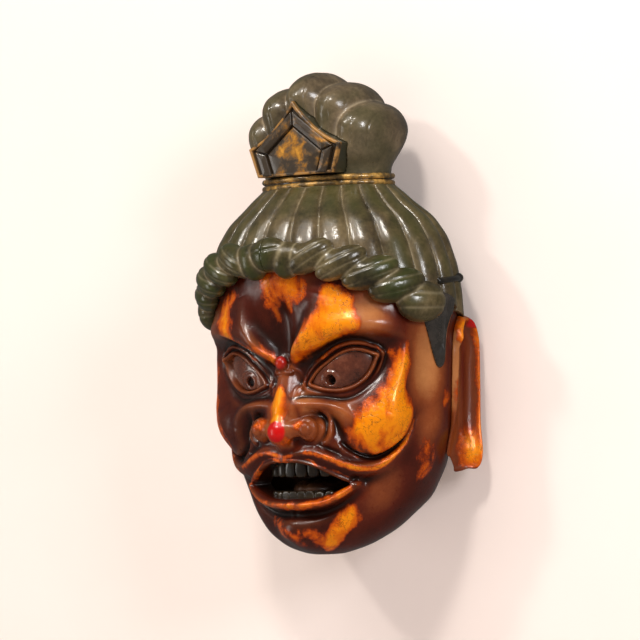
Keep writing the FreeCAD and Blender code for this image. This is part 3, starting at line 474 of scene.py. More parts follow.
gold = np.zeros(GT.shape)
for pts, soft, amount in (
    ([(-9, 174), (4, 178), (17, 172), (15, 162), (8, 154), (3, 160), (-3, 147), (-8, 156)], 6, 0.85),
    ([(30, 168), (42, 167), (51, 154), (50, 142), (40, 133), (22, 127), (10, 124), (13, 132), (19, 141), (25, 152)], 4.5, 1.0),
    ([(-37, 166), (-29, 142), (-20, 133), (-9, 128), (-10, 123.5), (-24, 127), (-36, 136), (-48, 150), (-50, 162)], 5, 0.92),
    ([(84, 134), (87, 122), (84, 105), (91, 88), (88, 75), (80, 67), (68, 64), (56, 66), (47, 73), (46, 84), (49, 93), (60, 101), (68, 112), (76, 126)], 5.5, 1.0),
    ([(-84, 130), (-88, 110), (-90, 88), (-80, 70), (-62, 68), (-56, 78), (-66, 92), (-74, 108), (-79, 124)], 6, 0.72),
    ([(38, 21), (48, 30), (56, 31), (67, 23), (66, 13), (56, 6), (36, 5), (36, 12)], 5.5, 0.95),
    ([(-36, 22), (-20, 14), (4, 9), (36, 5), (34, 16), (18, 17), (-4, 20), (-24, 27)], 6, 0.62),
    ([(104, 68), (115, 64), (120, 50), (107, 46)], 8, 0.55),
    ([(-104, 68), (-115, 64), (-120, 50), (-107, 46)], 8, 0.5),
    ([(120, 108), (131, 100), (130, 90), (121, 92)], 6, 0.6),
):
    gold = np.maximum(gold, amount * patch(pts, soft * 1.45))
fold_line = curve([(-84, 68, 1), (-68, 57, 1), (-56, 55.5, 1), (-42, 58.5, 1), (-30, 63, 1), (-16, 66.5, 1), (0, 64.5, 1), (16, 66.5, 1), (30, 63, 1), (42, 58.5, 1), (56, 55.5, 1), (68, 57, 1), (80, 64.5, 1), (89, 75, 1), (92, 84, 1)])
d_fold = nearest(fold_line, 12)[0]
gold = np.maximum(gold, (0.50 + 0.36 * step(10, 50, GT)) * np.exp(-(d_fold / 1.9) ** 2))
lip_line = curve([(-54, 46, 1), (-40, 39, 1), (-26, 35, 1), (-12, 33.5, 1), (0, 33.5, 1), (17, 34, 1), (28, 35.4, 1), (38, 38, 1), (50, 43.5, 1), (56, 47, 1)])
d_lip = nearest(lip_line, 12)[0]
gold = np.maximum(gold, (0.40 + 0.30 * step(-24, 6, GT) * step(56, 40, GT)) * np.exp(-(d_lip / 2.7) ** 2.2))
rim_line = curve([(-50, 47, 1), (-30, 55, 1), (-14, 61.5, 1), (0, 62.5, 1), (14, 61.5, 1), (30, 55.5, 1), (48, 48.5, 1)])
gold = np.maximum(gold, 0.42 * np.exp(-(nearest(rim_line, 8)[0] / 1.4) ** 2))
d_line = np.minimum(d_fold, d_lip)
brow_edge = curve([(12, 124, 1), (22, 127, 1), (32, 132.5, 1), (40, 136, 1)])
gold = np.maximum(gold, 0.75 * np.exp(-(nearest(brow_edge, 8)[0] / 3.0) ** 2))
lid_line = curve([(41, 133.4, 1), (50, 134.6, 1), (60, 133.2, 1), (68, 129, 1)])
gold = np.maximum(gold, 0.55 * np.exp(-(nearest(lid_line, 8)[0] / 1.5) ** 2))

# bright mid-brown planes between the gilded zones, and the dark hollows
brown = np.zeros(GT.shape)
for t, z, rt, rz, a in ((8, 172, 26, 10, 0.5), (58, 152, 16, 16, 0.9), (104, 120, 18, 34, 0.95), (108, 84, 16, 20, 0.6), (14, 97, 14, 12, 0.75), (24, 80, 12, 12, 0.55), (40, 90, 14, 10, 0.6),
                        (-58, 150, 16, 14, 0.5), (0, 112, 12, 14, 0.5), (44, 134, 20, 5, 0.4), (78, 40, 20, 18, 0.42), (-104, 120, 18, 34, 0.6)):
    brown = np.maximum(brown, blob(t, z, rt, rz, a, sharp=2.4))


# ---------------------------------------------------------------- face block
NOSE_TIP = (0.0, -101.8, 79.8)


def nose(x, y, z):
    ax = np.abs(x)
    d = cone(x, y, z, (0, -93.0, 121), (0, -98.5, 94), 5.6, 8.6)
    d = smin(d, cone(x, y, z, (0, -97.2, 118), (0, -103.4, 88), 3.0, 5.2), 3.0)
    d = smin(d, ellipsoid(x, y, z, NOSE_TIP, (11.4, 10.4, 9.8)), 4.0)
    d = smin(d, ellipsoid(ax, y, z, (8.5, -95.0, 91), (9.5, 8.0, 12)), 5.0)
    # wings: a band from the tip that ends in a round curl
    wing = cone(ax, y, z, (6.5, -103.6, 80.6), (16.5, -101.0, 82.6), 4.8, 5.6)
    curl = ellipsoid(ax, y, z, (18.2, -99.6, 81.4), (6.6, 8.2, 7.6))
    wing = smin(wing, curl, 1.4)
    ring = np.abs(np.sqrt(((ax - 18.8) / 4.4) ** 2 + ((z - 81.4) / 4.8) ** 2) - 1) * 4.4
    wing = wing + 0.8 * np.exp(-(ring / 0.8) ** 2) * step(12, 16, ax)
    d = smin(d, wing, 1.6)
    d = smin(d, ellipsoid(x, y, z, (0, -98.5, 71.6), (4.4, 7.6, 6.0)), 2.5)
    d = smax(d, -ellipsoid(ax, y, z, (9.4, -101.0, 72.2), (4.4, 6.4, 4.8)), 1.4)
    return d


def knob(x, y, z):
    a = math.radians(18)
    turn = ((1, 0, 0), (0, math.cos(a), math.sin(a)), (0, -math.sin(a), math.cos(a)))
    d = ellipsoid(x, y, z, (0, -101.2, 122.0), (3.9, 4.2, 5.0), turn)
    return smin(d, ellipsoid(x, y, z, (0, -99.0, 116.2), (6.8, 3.4, 2.1)), 1.4)


def carved_head(x, y, z):
    d0, th = head.dist(x, y, z)
    t = 80 * th
    rel = look(relief, t, z)
    fade = step(0.5, -26, y)
    d = d0 - rel * fade
    return d, d0, t


def inner_hollow(x, y, z):
    d, th = hollow.dist(x, y, z)
    d = smax(d, 12.5 - z, 8)
    d = smax(d, z - 215.5, 8)
    # gouge marks left by the carver: shallow scallops in staggered rows
    s = 80 * th / 11.0
    w = z / 17.0 + 0.5 * (np.floor(s) % 2)
    scoop = np.sin(np.pi * (s - np.floor(s))) * (0.55 + 0.45 * np.sin(np.pi * (w - np.floor(w))))
    return d - 0.75 * scoop + 0.35 * noise3(x, y, z, 21.0, 5)


def face_form(x, y, z):
    d, d0, t = carved_head(x, y, z)
    d = smin(d, nose(x, y, z), 3.2)
    d = smin(d, knob(x, y, z), 1.0)
    d = smax(d, 1.0 - z, 7.0)
    at = np.abs(t)
    d = smax(d, -(np.maximum(look(g_eye, at, z), -(d0 + 30)) + 0.0), 1.1)
    d = smax(d, -np.maximum(look(g_mouth, at, z), -(d0 + 60)), 1.6)
    d = smax(d, -inner_hollow(x, y, z), 0.9)
    d = smax(d, y + 0.15, 1.0)
    return np.maximum(d, seam(y, z))


def eye_form(side):
    def form(x, y, z):
        d0, th = head.dist(x, y, z)
        t = 80 * th * side
        r2 = ((t - 40) / 27.0) ** 2 + ((z - 117 - 0.25 * (t - 40)) / 15.0) ** 2
        bulge = -6.2 + 4.6 * np.clip(1 - r2, 0, 1) ** 0.8
        px, pz = x * side - 31.4, z - 110.9
        rr = np.sqrt(px * px + pz * pz)
        bulge = bulge - 0.45 * np.exp(-((rr - 6.4) / 0.8) ** 2) + 0.35 * np.exp(-((rr - 4.6) / 1.2) ** 2)
        d = d0 - bulge
        d = smax(d, 3.2 - rr, 0.7)
        d = smax(d, look(g_eye, t, z) + 0.12, 0.6)
        return smax(d, -(d0 + 15.5), 0.8)
    return form


def unit_marks(x, y, z):
    """Finish masks at points of the face: gold leaf, mid brown, red paint, hollows that carry painted shade, crests."""
    d0, th = head.dist(x, y, z)
    t = 80 * th
    outer = step(-8.6, -7.0, d0) * step(-1.0, -5.0, y)
    in_mouth = step(1.2, -0.2, look(g_mouth, np.abs(t), z)) * step(-2.0, -4.5, d0 - look(relief, t, z)) * step(-20, -50, y)
    # the leaf's edges wander and break up along the brush
    wt = 3.6 * noise3(x, y, z, 13.0, 11) + 1.7 * noise3(x, y, z, 5.0, 12)
    wz = 4.6 * noise3(x, y, z, 15.0, 13) + 2.0 * noise3(x, y, z, 5.5, 14)
    firm = np.exp(-(look(d_line, t, z) / 4.5) ** 2)
    g = look(gold, t + wt * (1 - 0.9 * firm), z + wz * (1 - 0.9 * firm))
    streak = noise3(x, y, z * 0.42 + 0.3 * t, 4.2, 15) + 0.6 * noise3(x, y, z * 0.5, 2.2, 16)
    g = np.clip(g * (1 + 0.16 * streak) + 0.10 * streak * step(0.1, 0.5, g), 0, 1.1) * (1 - in_mouth)
    b = look(brown, t, z)
    cav = look(cavity, t, z)
    cavw = look(cavity_wide, t, z)
    r = np.zeros(len(x))
    # nose: gilded bridge, red tip, orange wings
    ax = np.abs(x)
    front = step(2.2, 4.5, d0)
    on_nose = front * step(66, 72, z) * step(128, 122, z) * step(30, 24, ax)
    bridge = 1.2 * np.exp(-((x + 1.6) / 7.2) ** 2) * step(82, 87, z) * step(121, 112, z)
    wing = 0.66 * np.exp(-((ax - 15) / 6.0) ** 2) * np.exp(-((z - 84.0) / 4.2) ** 2)
    under = 0.5 * np.exp(-((z - 74) / 5.0) ** 2) * step(12, 6, ax)
    g = g * (1 - on_nose) + on_nose * np.maximum(np.maximum(bridge, wing), under)
    b = np.maximum(b * (1 - on_nose), on_nose * 0.55)
    tip = np.sqrt(x * x + (z - 80.2) ** 2 + (y + 111.8) ** 2)
    r = np.maximum(r, step(7.7, 6.2, tip))
    kn = np.sqrt(x * x + (z - 123.0) ** 2 + (y + 104) ** 2)
    r = np.maximum(r, 0.55 * step(5.6, 3.2, kn))
    g = g * (1 - step(7.4, 5.0, kn) * 0.8)
    rim = step(170.5, 174.5, z + 0.4452 * (y + 104))
    g = g * (1 - 0.6 * rim * step(0, 3, np.abs(t) - 20))
    # painted shade: the walls deep inside the mouth opening are lacquered and set to full recess darkness
    dark = np.maximum(in_mouth * step(-16, -12, d0), 0)
    outer = np.maximum(outer, dark)
    return {"gilt": g * outer, "brown": b * (1 - dark) * outer, "red": r * outer, "cav": np.clip(cav + 2 * dark, -2, 2) * outer, "wide": np.clip(cavw + 3 * dark, -3, 3) * outer, "outer": outer}


# ---------------------------------------------------------------- hair block
def rib_shape(t, z):
    """Height 0..1 across one combed lock of the cap and the distance to its groove."""
    w = 22.0
    s = t / w + 0.5 + 0.05 * np.sin(t / 31.0)
    u = 2 * (s - np.floor(s)) - 1
    au = np.abs(u)
    return (1 - au ** 2.3), (1 - au) * w / 2, np.floor(s)


def hair_form(x, y, z):
    d0, th = head.dist(x, y, z)
    t = 80 * th
    prof, gd, idx = rib_shape(t, z)
    low = step(222, 196, z)
    amp = 2.0 + 1.6 * low
    grow = 0.2 + amp * prof ** 0.8 - 0.5 * np.exp(-(gd / 0.7) ** 2)
    grow = grow * step(1.0, -14, y) * step(235, 224, z) + 0.9 * (1 - step(235, 224, z))
    d = d0 - grow
    d = smax(d, z - 232.6, 2.0)
    d = smax(d, -inner_hollow(x, y, z), 0.9)
    d = smax(d, y + 0.15, 1.0)
    return np.maximum(d, 0.05 - seam(y, z))


def hair_marks(x, y, z):
    d0, th = head.dist(x, y, z)
    prof, gd, idx = rib_shape(80 * th, z)
    outer = step(-7.5, -5.0, d0) * step(-1.0, -5.0, y)
    return {"groove": np.exp(-(gd / 0.75) ** 2) * outer, "outer": outer, "crest": prof * outer}


# ---------------------------------------------------------------- topknot
LOBES = [
    # foot x, height, radius; crest x, height, radius; middle depth
    (0, 238, 16.6, -0.5, 286.3, 18.2, -46.5),
    (13.5, 238, 16.4, 20.5, 279.0, 17.6, -47.0),
    (27.0, 237, 16.6, 34.6, 266.5, 17.8, -45.5),
    (-13.5, 238, 16.4, -21.5, 278.6, 17.4, -47.0),
    (-27.0, 237, 16.6, -36.0, 265.0, 17.2, -45.5),
]


def knot_parts(x, y, z):
    out = []
    for x0, z0, r0, x1, z1, r1, depth in LOBES:
        # locks are deep from front to back and curl a little forward at the crest
        yy = (y - depth - 2.5 * np.sin((z - 240) / 16.0)) * 0.60
        out.append(cone(x, yy, z, (x0, 0, z0), (x1, 0, z1), r0, r1) / 0.86)
    return np.stack(out)


def knot_form(x, y, z):
    p = np.sort(knot_parts(x, y, z), axis=0)
    d = smin(p[0], p[1], 0.9)
    # hand-cut unevenness and shallow strand lines that run over each lock
    d = d + 0.55 * noise3(x, y, z, 13.0, 31) + 0.22 * noise3(x, y, z, 6.0, 32)
    strand = np.abs(np.sin((x * (1 - 0.004 * (z - 236)) + 0.06 * y) * 0.42))
    d = d + 0.28 * np.exp(-(strand / 0.16) ** 2) * step(1.6, 5.0, p[1] - p[0])
    q2 = np.sqrt((x / 43.6) ** 2 + ((y + 45) / 29.6) ** 2)
    d = smax(d, (q2 - 1 - 0.42 * step(237, 268, z)) * 30, 2.5)
    stem = smax((q2 - 1) * 28, z - 252, 14)
    stem = smax(stem, 231.0 - z, 0.6)
    d = smin(d, stem, 2.0)
    d = smax(d, 231.0 - z, 0.6)
    # seat of the crown plate
    seat = np.maximum(np.maximum(y + 65.9, plate_outline(x, z) - 0.15), -(y + 120))
    return smax(d, -seat, 0.3)


def knot_marks(x, y, z):
    p = np.sort(knot_parts(x, y, z), axis=0)
    crease = np.exp(-((p[1] - p[0]) / 1.1) ** 2) * step(3.0, 0.5, np.abs(p[0]))
    return {"groove": crease, "outer": np.ones(len(x)), "crest": step(0, 8, p[1] - p[0])}


# ---------------------------------------------------------------- flat outlines used for the crown plate and the side pieces
def poly_dist(px, pz, pts):
    """Signed distance to a polygon, negative inside."""
    pts = np.array(pts, float)
    n = len(pts)
    d = np.full(np.shape(px), 1e18)
    inside = np.zeros(np.shape(px), bool)
    for i in range(n):
        a, b = pts[i], pts[(i + 1) % n]
        e = b - a
        wx, wz = px - a[0], pz - a[1]
        s = np.clip((wx * e[0] + wz * e[1]) / max(e @ e, 1e-12), 0, 1)
        d = np.minimum(d, (wx - e[0] * s) ** 2 + (wz - e[1] * s) ** 2)
        if a[1] != b[1]:
            m = ((a[1] > pz) != (b[1] > pz)) & (px < (b[0] - a[0]) * (pz - a[1]) / (b[1] - a[1]) + a[0])
            inside = inside ^ m
    return np.where(inside, -np.sqrt(d), np.sqrt(d))


PLATE = [(-29.5, 238.9), (-32.6, 248), (-35.8, 257.4), (-30.5, 259.6), (-24, 262.9), (-16, 268.4), (-8.5, 275.2), (-3.2, 281.2), (0, 285.6),
         (3.2, 281.2), (8.5, 275.2), (16, 268.4), (24, 262.9), (30.5, 259.6), (35.8, 257.4), (32.6, 248), (29.5, 238.9)]


def plate_outline(x, z):
    return poly_dist(x, z, PLATE)


def inset(w, step_in, foot=239.3):
    """Straight-sided pentagon inside the crown plate's outline."""
    f, s, t, z0 = 29.0 * w / 35.0, 18.4, 44.9, 238.9
    pts = [(-f, z0), (-w, z0 + s), (0, z0 + t), (w, z0 + s), (f, z0)]
    lines = []
    for i in range(5):
        (x1, y1), (x2, y2) = pts[i], pts[(i + 1) % 5]
        n = math.hypot(x2 - x1, y2 - y1)
        dx, dy = (x2 - x1) / n, (y2 - y1) / n
        k = 0.0 if i == 4 else step_in
        lines.append((x1 + dy * k, y1 - dx * k, dx, dy))
    out = []
    for i in range(5):
        x1, y1, dx1, dy1 = lines[i - 1]
        x2, y2, dx2, dy2 = lines[i]
        al = ((x2 - x1) * dy2 - (y2 - y1) * dx2) / (dx1 * dy2 - dy1 * dx2)
        out.append((x1 + dx1 * al, y1 + dy1 * al))
    out[0] = (out[0][0], foot)
    out[4] = (out[4][0], foot)
    return out


BAR_OUT, BAR_IN, PANEL = inset(34.5, 3.3), inset(34.5, 10.8), inset(34.5, 11.5)


def plate_form(x, y, z):
    d2 = plate_outline(x, z)
    rim = step(-2.4, -1.7, d2)
    front = -79.0 - 0.7 * rim + 1.1 * step(-1.8, -2.6, d2)
    d = smax(d2, front - y, 0.8)
    d = smax(d, y + 66.1, 0.5)
    return smax(d, 239.0 - z, 0.4)


def plate_marks(x, y, z):
    d2 = plate_outline(x, z)
    return {"rim": step(-2.8, -1.5, d2) * step(-76, -77.5, y), "line": np.exp(-((d2 + 2.8) / 0.7) ** 2), "outer": step(-76, -77.5, y)}


def bar_quad(i):
    quad = np.array([BAR_OUT[i], BAR_OUT[i + 1], BAR_IN[i + 1], BAR_IN[i]])
    return quad


def bars_form(x, y, z):
    d = np.full(np.shape(x), 1e3)
    for i in range(4):
        d2 = poly_dist(x, z, bar_quad(i)) + 0.42
        dome = 0.5 * np.clip(-d2 / 3.0, 0, 1)
        b = smax(d2, (-80.6 - dome) - y, 0.7)
        d = np.minimum(d, b)
    return smax(d, y + 78.05, 0.3)


def panel_form(x, y, z):
    d2 = poly_dist(x, z, PANEL)
    dome = 1.1 * np.clip(-d2 / 9.0, 0, 1) ** 0.6
    d = smax(d2 + 0.1, (-79.2 - dome) - y, 0.5)
    return smax(d, y + 78.05, 0.3)


# ---------------------------------------------------------------- braid
def braid_centre(u, side):
    """Centre line of the braid at u degrees from the middle of the forehead, with its tangent and outward direction."""
    a = math.radians(u)
    w, d, c = 86.0, 65.0, 44.0
    def at(b):
        x, y = w * math.sin(b), -c - d * math.cos(b)
        z = 184 - (y + 104) * 0.4452 + 3.6 - 15.0 * (math.degrees(b) / 76.0) ** 2
        return np.array([x, y, z])
    p = at(a)
    tan = at(a + 0.01) - at(a - 0.01)
    tan /= np.linalg.norm(tan)
    out = np.array([math.sin(a) / w, -math.cos(a) / d, 0.0])
    out /= np.linalg.norm(out)
    out = out - tan * (out @ tan)
    out /= np.linalg.norm(out)
    up = np.cross(out, tan)
    if up[2] < 0:
        up = -up
    s = np.array([side, 1, 1])
    return p * s, tan * s, out * s, up * s


def lobe_list(side):
    out = []
    spots = [(19.5, 16.5, 9.0, 9.4, 40), (33.0, 17.5, 9.2, 9.8, 42), (46.0, 18.5, 9.6, 10.0, 42), (58.5, 18.5, 10.4, 10.0, 42), (71.5, 17.0, 13.0, 9.8, 34)]
    for u, lng, across, thick, lean in spots:
        p, tan, o, up = braid_centre(u, side)
        b = math.radians(lean)
        e1 = tan * math.cos(b) + up * math.sin(b)
        e2 = -tan * math.sin(b) + up * math.cos(b)
        out.append((p, (e1, o, e2), (lng, thick, across)))
    return out


def braid_form(side):
    lobes = lobe_list(side)
    mid_p, mid_t, mid_o, mid_u = braid_centre(3.0, 1)
    tube = [braid_centre(u, side)[0] for u in np.linspace(2, 74, 19)]

    def parts(x, y, z):
        ds = []
        for p, turn, r in lobes:
            d = ellipsoid(x, y, z, p, r, turn)
            # strand lines combed along the lock
            v = ((x - p[0]) * turn[2][0] + (y - p[1]) * turn[2][1] + (z - p[2]) * turn[2][2]) / r[2]
            d = d + 0.5 * np.exp(-((v - 0.38) / 0.09) ** 2) + 0.35 * np.exp(-((v + 0.3) / 0.08) ** 2)
            ds.append(d)
        # the parting lock over the middle
        m = ellipsoid(x, y, z, (1.5, -110.0, 189.5), (14.5, 9.0, 11.0))
        v = (z - 189.5) / 11.0 - 0.05 * x / 4
        m = m + 0.5 * np.exp(-((v - 0.25) / 0.09) ** 2)
        n = ellipsoid(np.abs(x), y, z, (12.5, -108.0, 185.5), (10.0, 8.6, 11.5))
        ds.append(m)
        ds.append(n)
        return np.stack(ds)

    def form(x, y, z):
        p = parts(x, y, z)
        s = np.sort(p, axis=0)
        d = smin(s[0], s[1], 0.9)
        core = np.full(np.shape(x), 1e3)
        for i in range(len(tube) - 1):
            core = np.minimum(core, cone(x, y, z, tube[i], tube[i + 1], 7.6, 7.6))
        d = smin(d, core, 1.5)
        d0, th = head.dist(x, y, z)
        grow = np.where(seam(y, z) > 0, 1.2, 0.0)
        d = smax(d, 0.15 + look(relief, 80 * th, z) * (seam(y, z) <= 0) + grow - d0, 0.5)
        return smax(d, 0.12 - x * side, 0.4)

    def marks(x, y, z):
        s = np.sort(parts(x, y, z), axis=0)
        crease = np.exp(-((s[1] - s[0]) / 0.9) ** 2)
        line = np.zeros(len(x))
        near = parts(x, y, z).argmin(0)
        for i, (p, turn, r) in enumerate(lobes):
            v = ((x - p[0]) * turn[2][0] + (y - p[1]) * turn[2][1] + (z - p[2]) * turn[2][2]) / r[2]
            e = np.exp(-((v - 0.38) / 0.07) ** 2) + 0.7 * np.exp(-((v + 0.3) / 0.06) ** 2)
            line = np.where(near == i, e, line)
        return {"groove": np.clip(crease + 0.6 * line, 0, 1), "outer": np.ones(len(x)), "crest": step(0, 5, s[1] - s[0])}

    return form, marks


# ---------------------------------------------------------------- sideburns, hair ties, ears
LOCK = [(-64, 160), (-61, 148), (-57.5, 136), (-54.5, 124), (-52, 117.5), (-49.5, 115.2), (-47, 117), (-45.6, 122), (-44.6, 130), (-42.5, 138), (-39, 144), (-35, 150), (-33, 158), (-40, 166)]


def lock_form(side):
    path = curve(LOCK, closed=True, step_mm=2.0)

    def form(x, y, z):
        d0, th = head.dist(x, y, z)
        d2 = poly_dist(y, z, path)
        rise = 4.6 * np.clip(-d2 / 5.0, 0, 1) ** 0.55 - 1.3 * np.exp(-((y + 51.5 - 0.12 * (z - 130)) / 2.2) ** 2) * step(119, 130, z)
        d = d0 - rise
        d = smax(d, d2, 1.0)
        d = smax(d, -(d0 + 0.6), 0.3)
        d = smax(d, -(d0 - 0.1 - look(relief, 80 * th, z)), 0.2)
        d = smax(d, 20 - x * side, 0.3)
        return smax(d, seam(y, z) - 3, 0.4)
    return form


def tie_form(side):
    def form(x, y, z):
        d0, th = head.dist(x, y, z)
        mid = 168.9 + 0.055 * (y + 52)
        prof, gd, idx = rib_shape(80 * th, z)
        rr = np.sqrt(((z - mid) / 1.9) ** 2 + ((d0 - 3.0) / 2.3) ** 2)
        d = (rr - 1) * 1.9
        # the knot at the back, where the cord is tucked under itself
        d = smin(d, ellipsoid(x * side, y, z, (81.0, -23, 170.6), (3.0, 4.5, 3.2)), 1.2)
        d = smax(d, -(y + 52.0), 0.8)
        d = smax(d, y + 0.8, 0.5)
        return smax(d, 20 - x * side, 0.3)
    return form


EAR = [(-24, 47), (-16.5, 47.5), (-11.0, 52), (-7.5, 66), (-4.8, 92), (-3.4, 118), (-3.2, 130), (-5.5, 139.5), (-10.5, 145.5), (-18, 147.5), (-26, 145.5), (-32.5, 139), (-36.0, 129), (-37.0, 118), (-36.6, 100), (-33.5, 78), (-30, 60), (-28, 51)]


def ear_form(side):
    path = curve(EAR, closed=True, step_mm=2.5)

    def form(x, y, z):
        ax = x * side
        d2 = poly_dist(y, z, path)
        e = -d2
        A, B, c, _, _, _ = head.at(z)
        skull = A * np.sqrt(np.clip(1 - ((y + c) / B) ** 2, 0.01, 1))
        top_arch = step(126, 134, z)
        k = step(-29, -11, y)
        base = (skull + 1.6) * (1 - k) + np.maximum(79.0, skull + 1.6) * k
        round_rim = np.clip(step(-27, -15, y) + top_arch * step(-38, -31, y), 0, 1)
        rim = 4.6 * np.exp(-((e - 2.9) / 2.4) ** 2) * round_rim
        front = 2.0 * np.exp(-((y + 33.6 - 0.03 * (z - 100)) / 2.0) ** 2) * step(60, 76, z) * step(140, 128, z)
        chan = -1.7 * np.exp(-((e - 9.0) / 3.0) ** 2) * step(62, 76, z) * step(-27, -17, y) * (1 - 0.65 * np.exp(-((z - 128) / 8) ** 2))
        bowl = -0.8 * np.exp(-(((y + 25.0) / 5.0) ** 2 + ((z - 112) / 30) ** 2))
        lobe = 4.2 * np.exp(-(((y + 16.0) / 7.5) ** 2 + ((z - 62) / 14) ** 2))
        top = base + rim + front + chan + bowl + lobe
        top = np.maximum(top, skull + 0.7)
        d = smax(d2, ax - top, 2.2)
        # a small boss round each dowel reaches in to the side of the head
        boss = np.maximum(np.exp(-((y + 9) ** 2 + (z - 88) ** 2) / 22.0), np.exp(-((y + 9) ** 2 + (z - 128) ** 2) / 22.0))
        inner = 71.2 - 6.5 * boss
        d = smax(d, inner - ax, 1.0)
        # cut end of the lobe: a flat oval with a shallow dish
        d = smax(d, 49.5 - z + 0.18 * (y + 20) + 1.2 * np.exp(-(((y + 18) / 4.5) ** 2 + ((ax - 79) / 3.2) ** 2)), 1.0)
        d0, th = head.dist(x, y, z)
        skin = d0 - look(relief, 80 * th, z) * step(0.5, -26, y)
        own = np.where(seam(y, z) > -1, d0 - 3.2, skin)
        d = smax(d, 0.12 - own, 0.3)
        return smax(d, y + 0.6, 0.8)

    def marks(x, y, z):
        ax = x * side
        d2 = poly_dist(y, z, path)
        e = -d2
        back = step(-26, -13, y)
        rim = np.exp(-((e - 2.2) / 2.9) ** 2) * np.clip(back + step(126, 133, z) * step(-38, -31, y), 0, 1)
        lobe = np.exp(-(((y + 15) / 8) ** 2 + ((z - 64) / 15) ** 2))
        g = np.maximum(rim * (0.86 + 0.12 * noise3(x, y, z, 9.0, 3)), 0.9 * lobe)
        g = np.maximum(g, 0.5 * np.exp(-(((y + 34) / 4) ** 2 + ((z - 100) / 14) ** 2)))
        red = step(7.5, 5.5, np.sqrt((y + 9.0) ** 2 + (z - 145.5) ** 2)) * step(73, 77, ax)
        inside = np.exp(-(((y + 17.5) / 5.0) ** 2 + ((z - 112) / 30) ** 2))
        g = g * (1 - red) * step(50.5, 53, z)
        # painted shade: cav and wide darken the hollow of the concha
        return {"gilt": g, "brown": 0.45 + 0.35 * step(-20, -32, y) * step(84, 96, z), "red": np.clip(red + 0.0 * inside, 0, 1), "cav": 0.15 * inside, "wide": 0.3 * inside, "outer": np.ones(len(x)), "maroon": np.clip(inside + 0.5 * step(51.5, 49.8, z), 0, 1)}

    return form, marks


# ---------------------------------------------------------------- teeth and tongue
def teeth_form(upper):
    """One row of teeth carved from a single strip, on an arc behind the lips."""
    radius, cy = 42.0, -52.0
    if upper:
        widths, z0, z1, bulge = (9.0, 8.4, 8.2, 7.4), 50.8, 62.0, 2.2
    else:
        widths, z0, z1, bulge = (6.6, 6.6, 7.0, 6.6), 33.5, 42.0, 1.6
    spots, s = [], 0.0
    for w in widths:
        spots.append((s + w / 2, w))
        s += w

    def form(x, y, z):
        a = np.arctan2(x, -(y - cy)) * radius
        r = np.sqrt(x * x + (y - cy) ** 2)
        aa = np.abs(a)
        mid = 0.5 * (z0 + z1)
        half = 0.5 * (z1 - z0)
        d = np.full(np.shape(x), 1e3)
        for i, (c, w) in enumerate(spots):
            tilt = 0.5 * math.sin(i * 2.3)
            u = (aa - c) / (w / 2 - 0.12)
            v = (z - mid - tilt * 0.4) / half
            q = (np.abs(u) ** 3.2 + np.abs(v) ** 4.0) ** (1 / 3.6)
            front = radius - 3.2 + bulge * np.sqrt(np.clip(1 - 0.75 * u * u - 0.35 * v * v, 0, 1)) + 1.2
            e = smax((q - 1) * w / 2.4, r - front, 1.2)
            d = np.minimum(d, e)
        strip = smax(np.maximum(aa - s + 1.0, np.abs(z - (mid + (1.2 if upper else -1.2))) - half + 1.4), r - radius + 3.4, 0.8)
        d = smin(d, strip, 0.6)
        d = smax(d, y + 60.05, 0.3)
        d0, th = head.dist(x, y, z)
        return smax(d, d0 + 2.6, 0.4)
    return form


def tongue_form(x, y, z):
    d = ellipsoid(x, y, z, (0, -60, 42.8), (18.5, 25, 7.0))
    d = d + 1.3 * np.exp(-(x / 1.5) ** 2) * step(-60, -70, y) + 0.2 * noise3(x, y, z, 3.0, 9)
    d = smax(d, y + 60.06, 0.3)
    r = np.sqrt(x * x + (y + 52) ** 2)
    return smax(d, r - 37.6, 1.0)


# ---------------------------------------------------------------- procedural finishes
def lin(r, g, b):
    return tuple(((c / 255.0) / 12.92 if c / 255.0 <= 0.04045 else ((c / 255.0 + 0.055) / 1.055) ** 2.4) for c in (r, g, b)) + (1.0,)


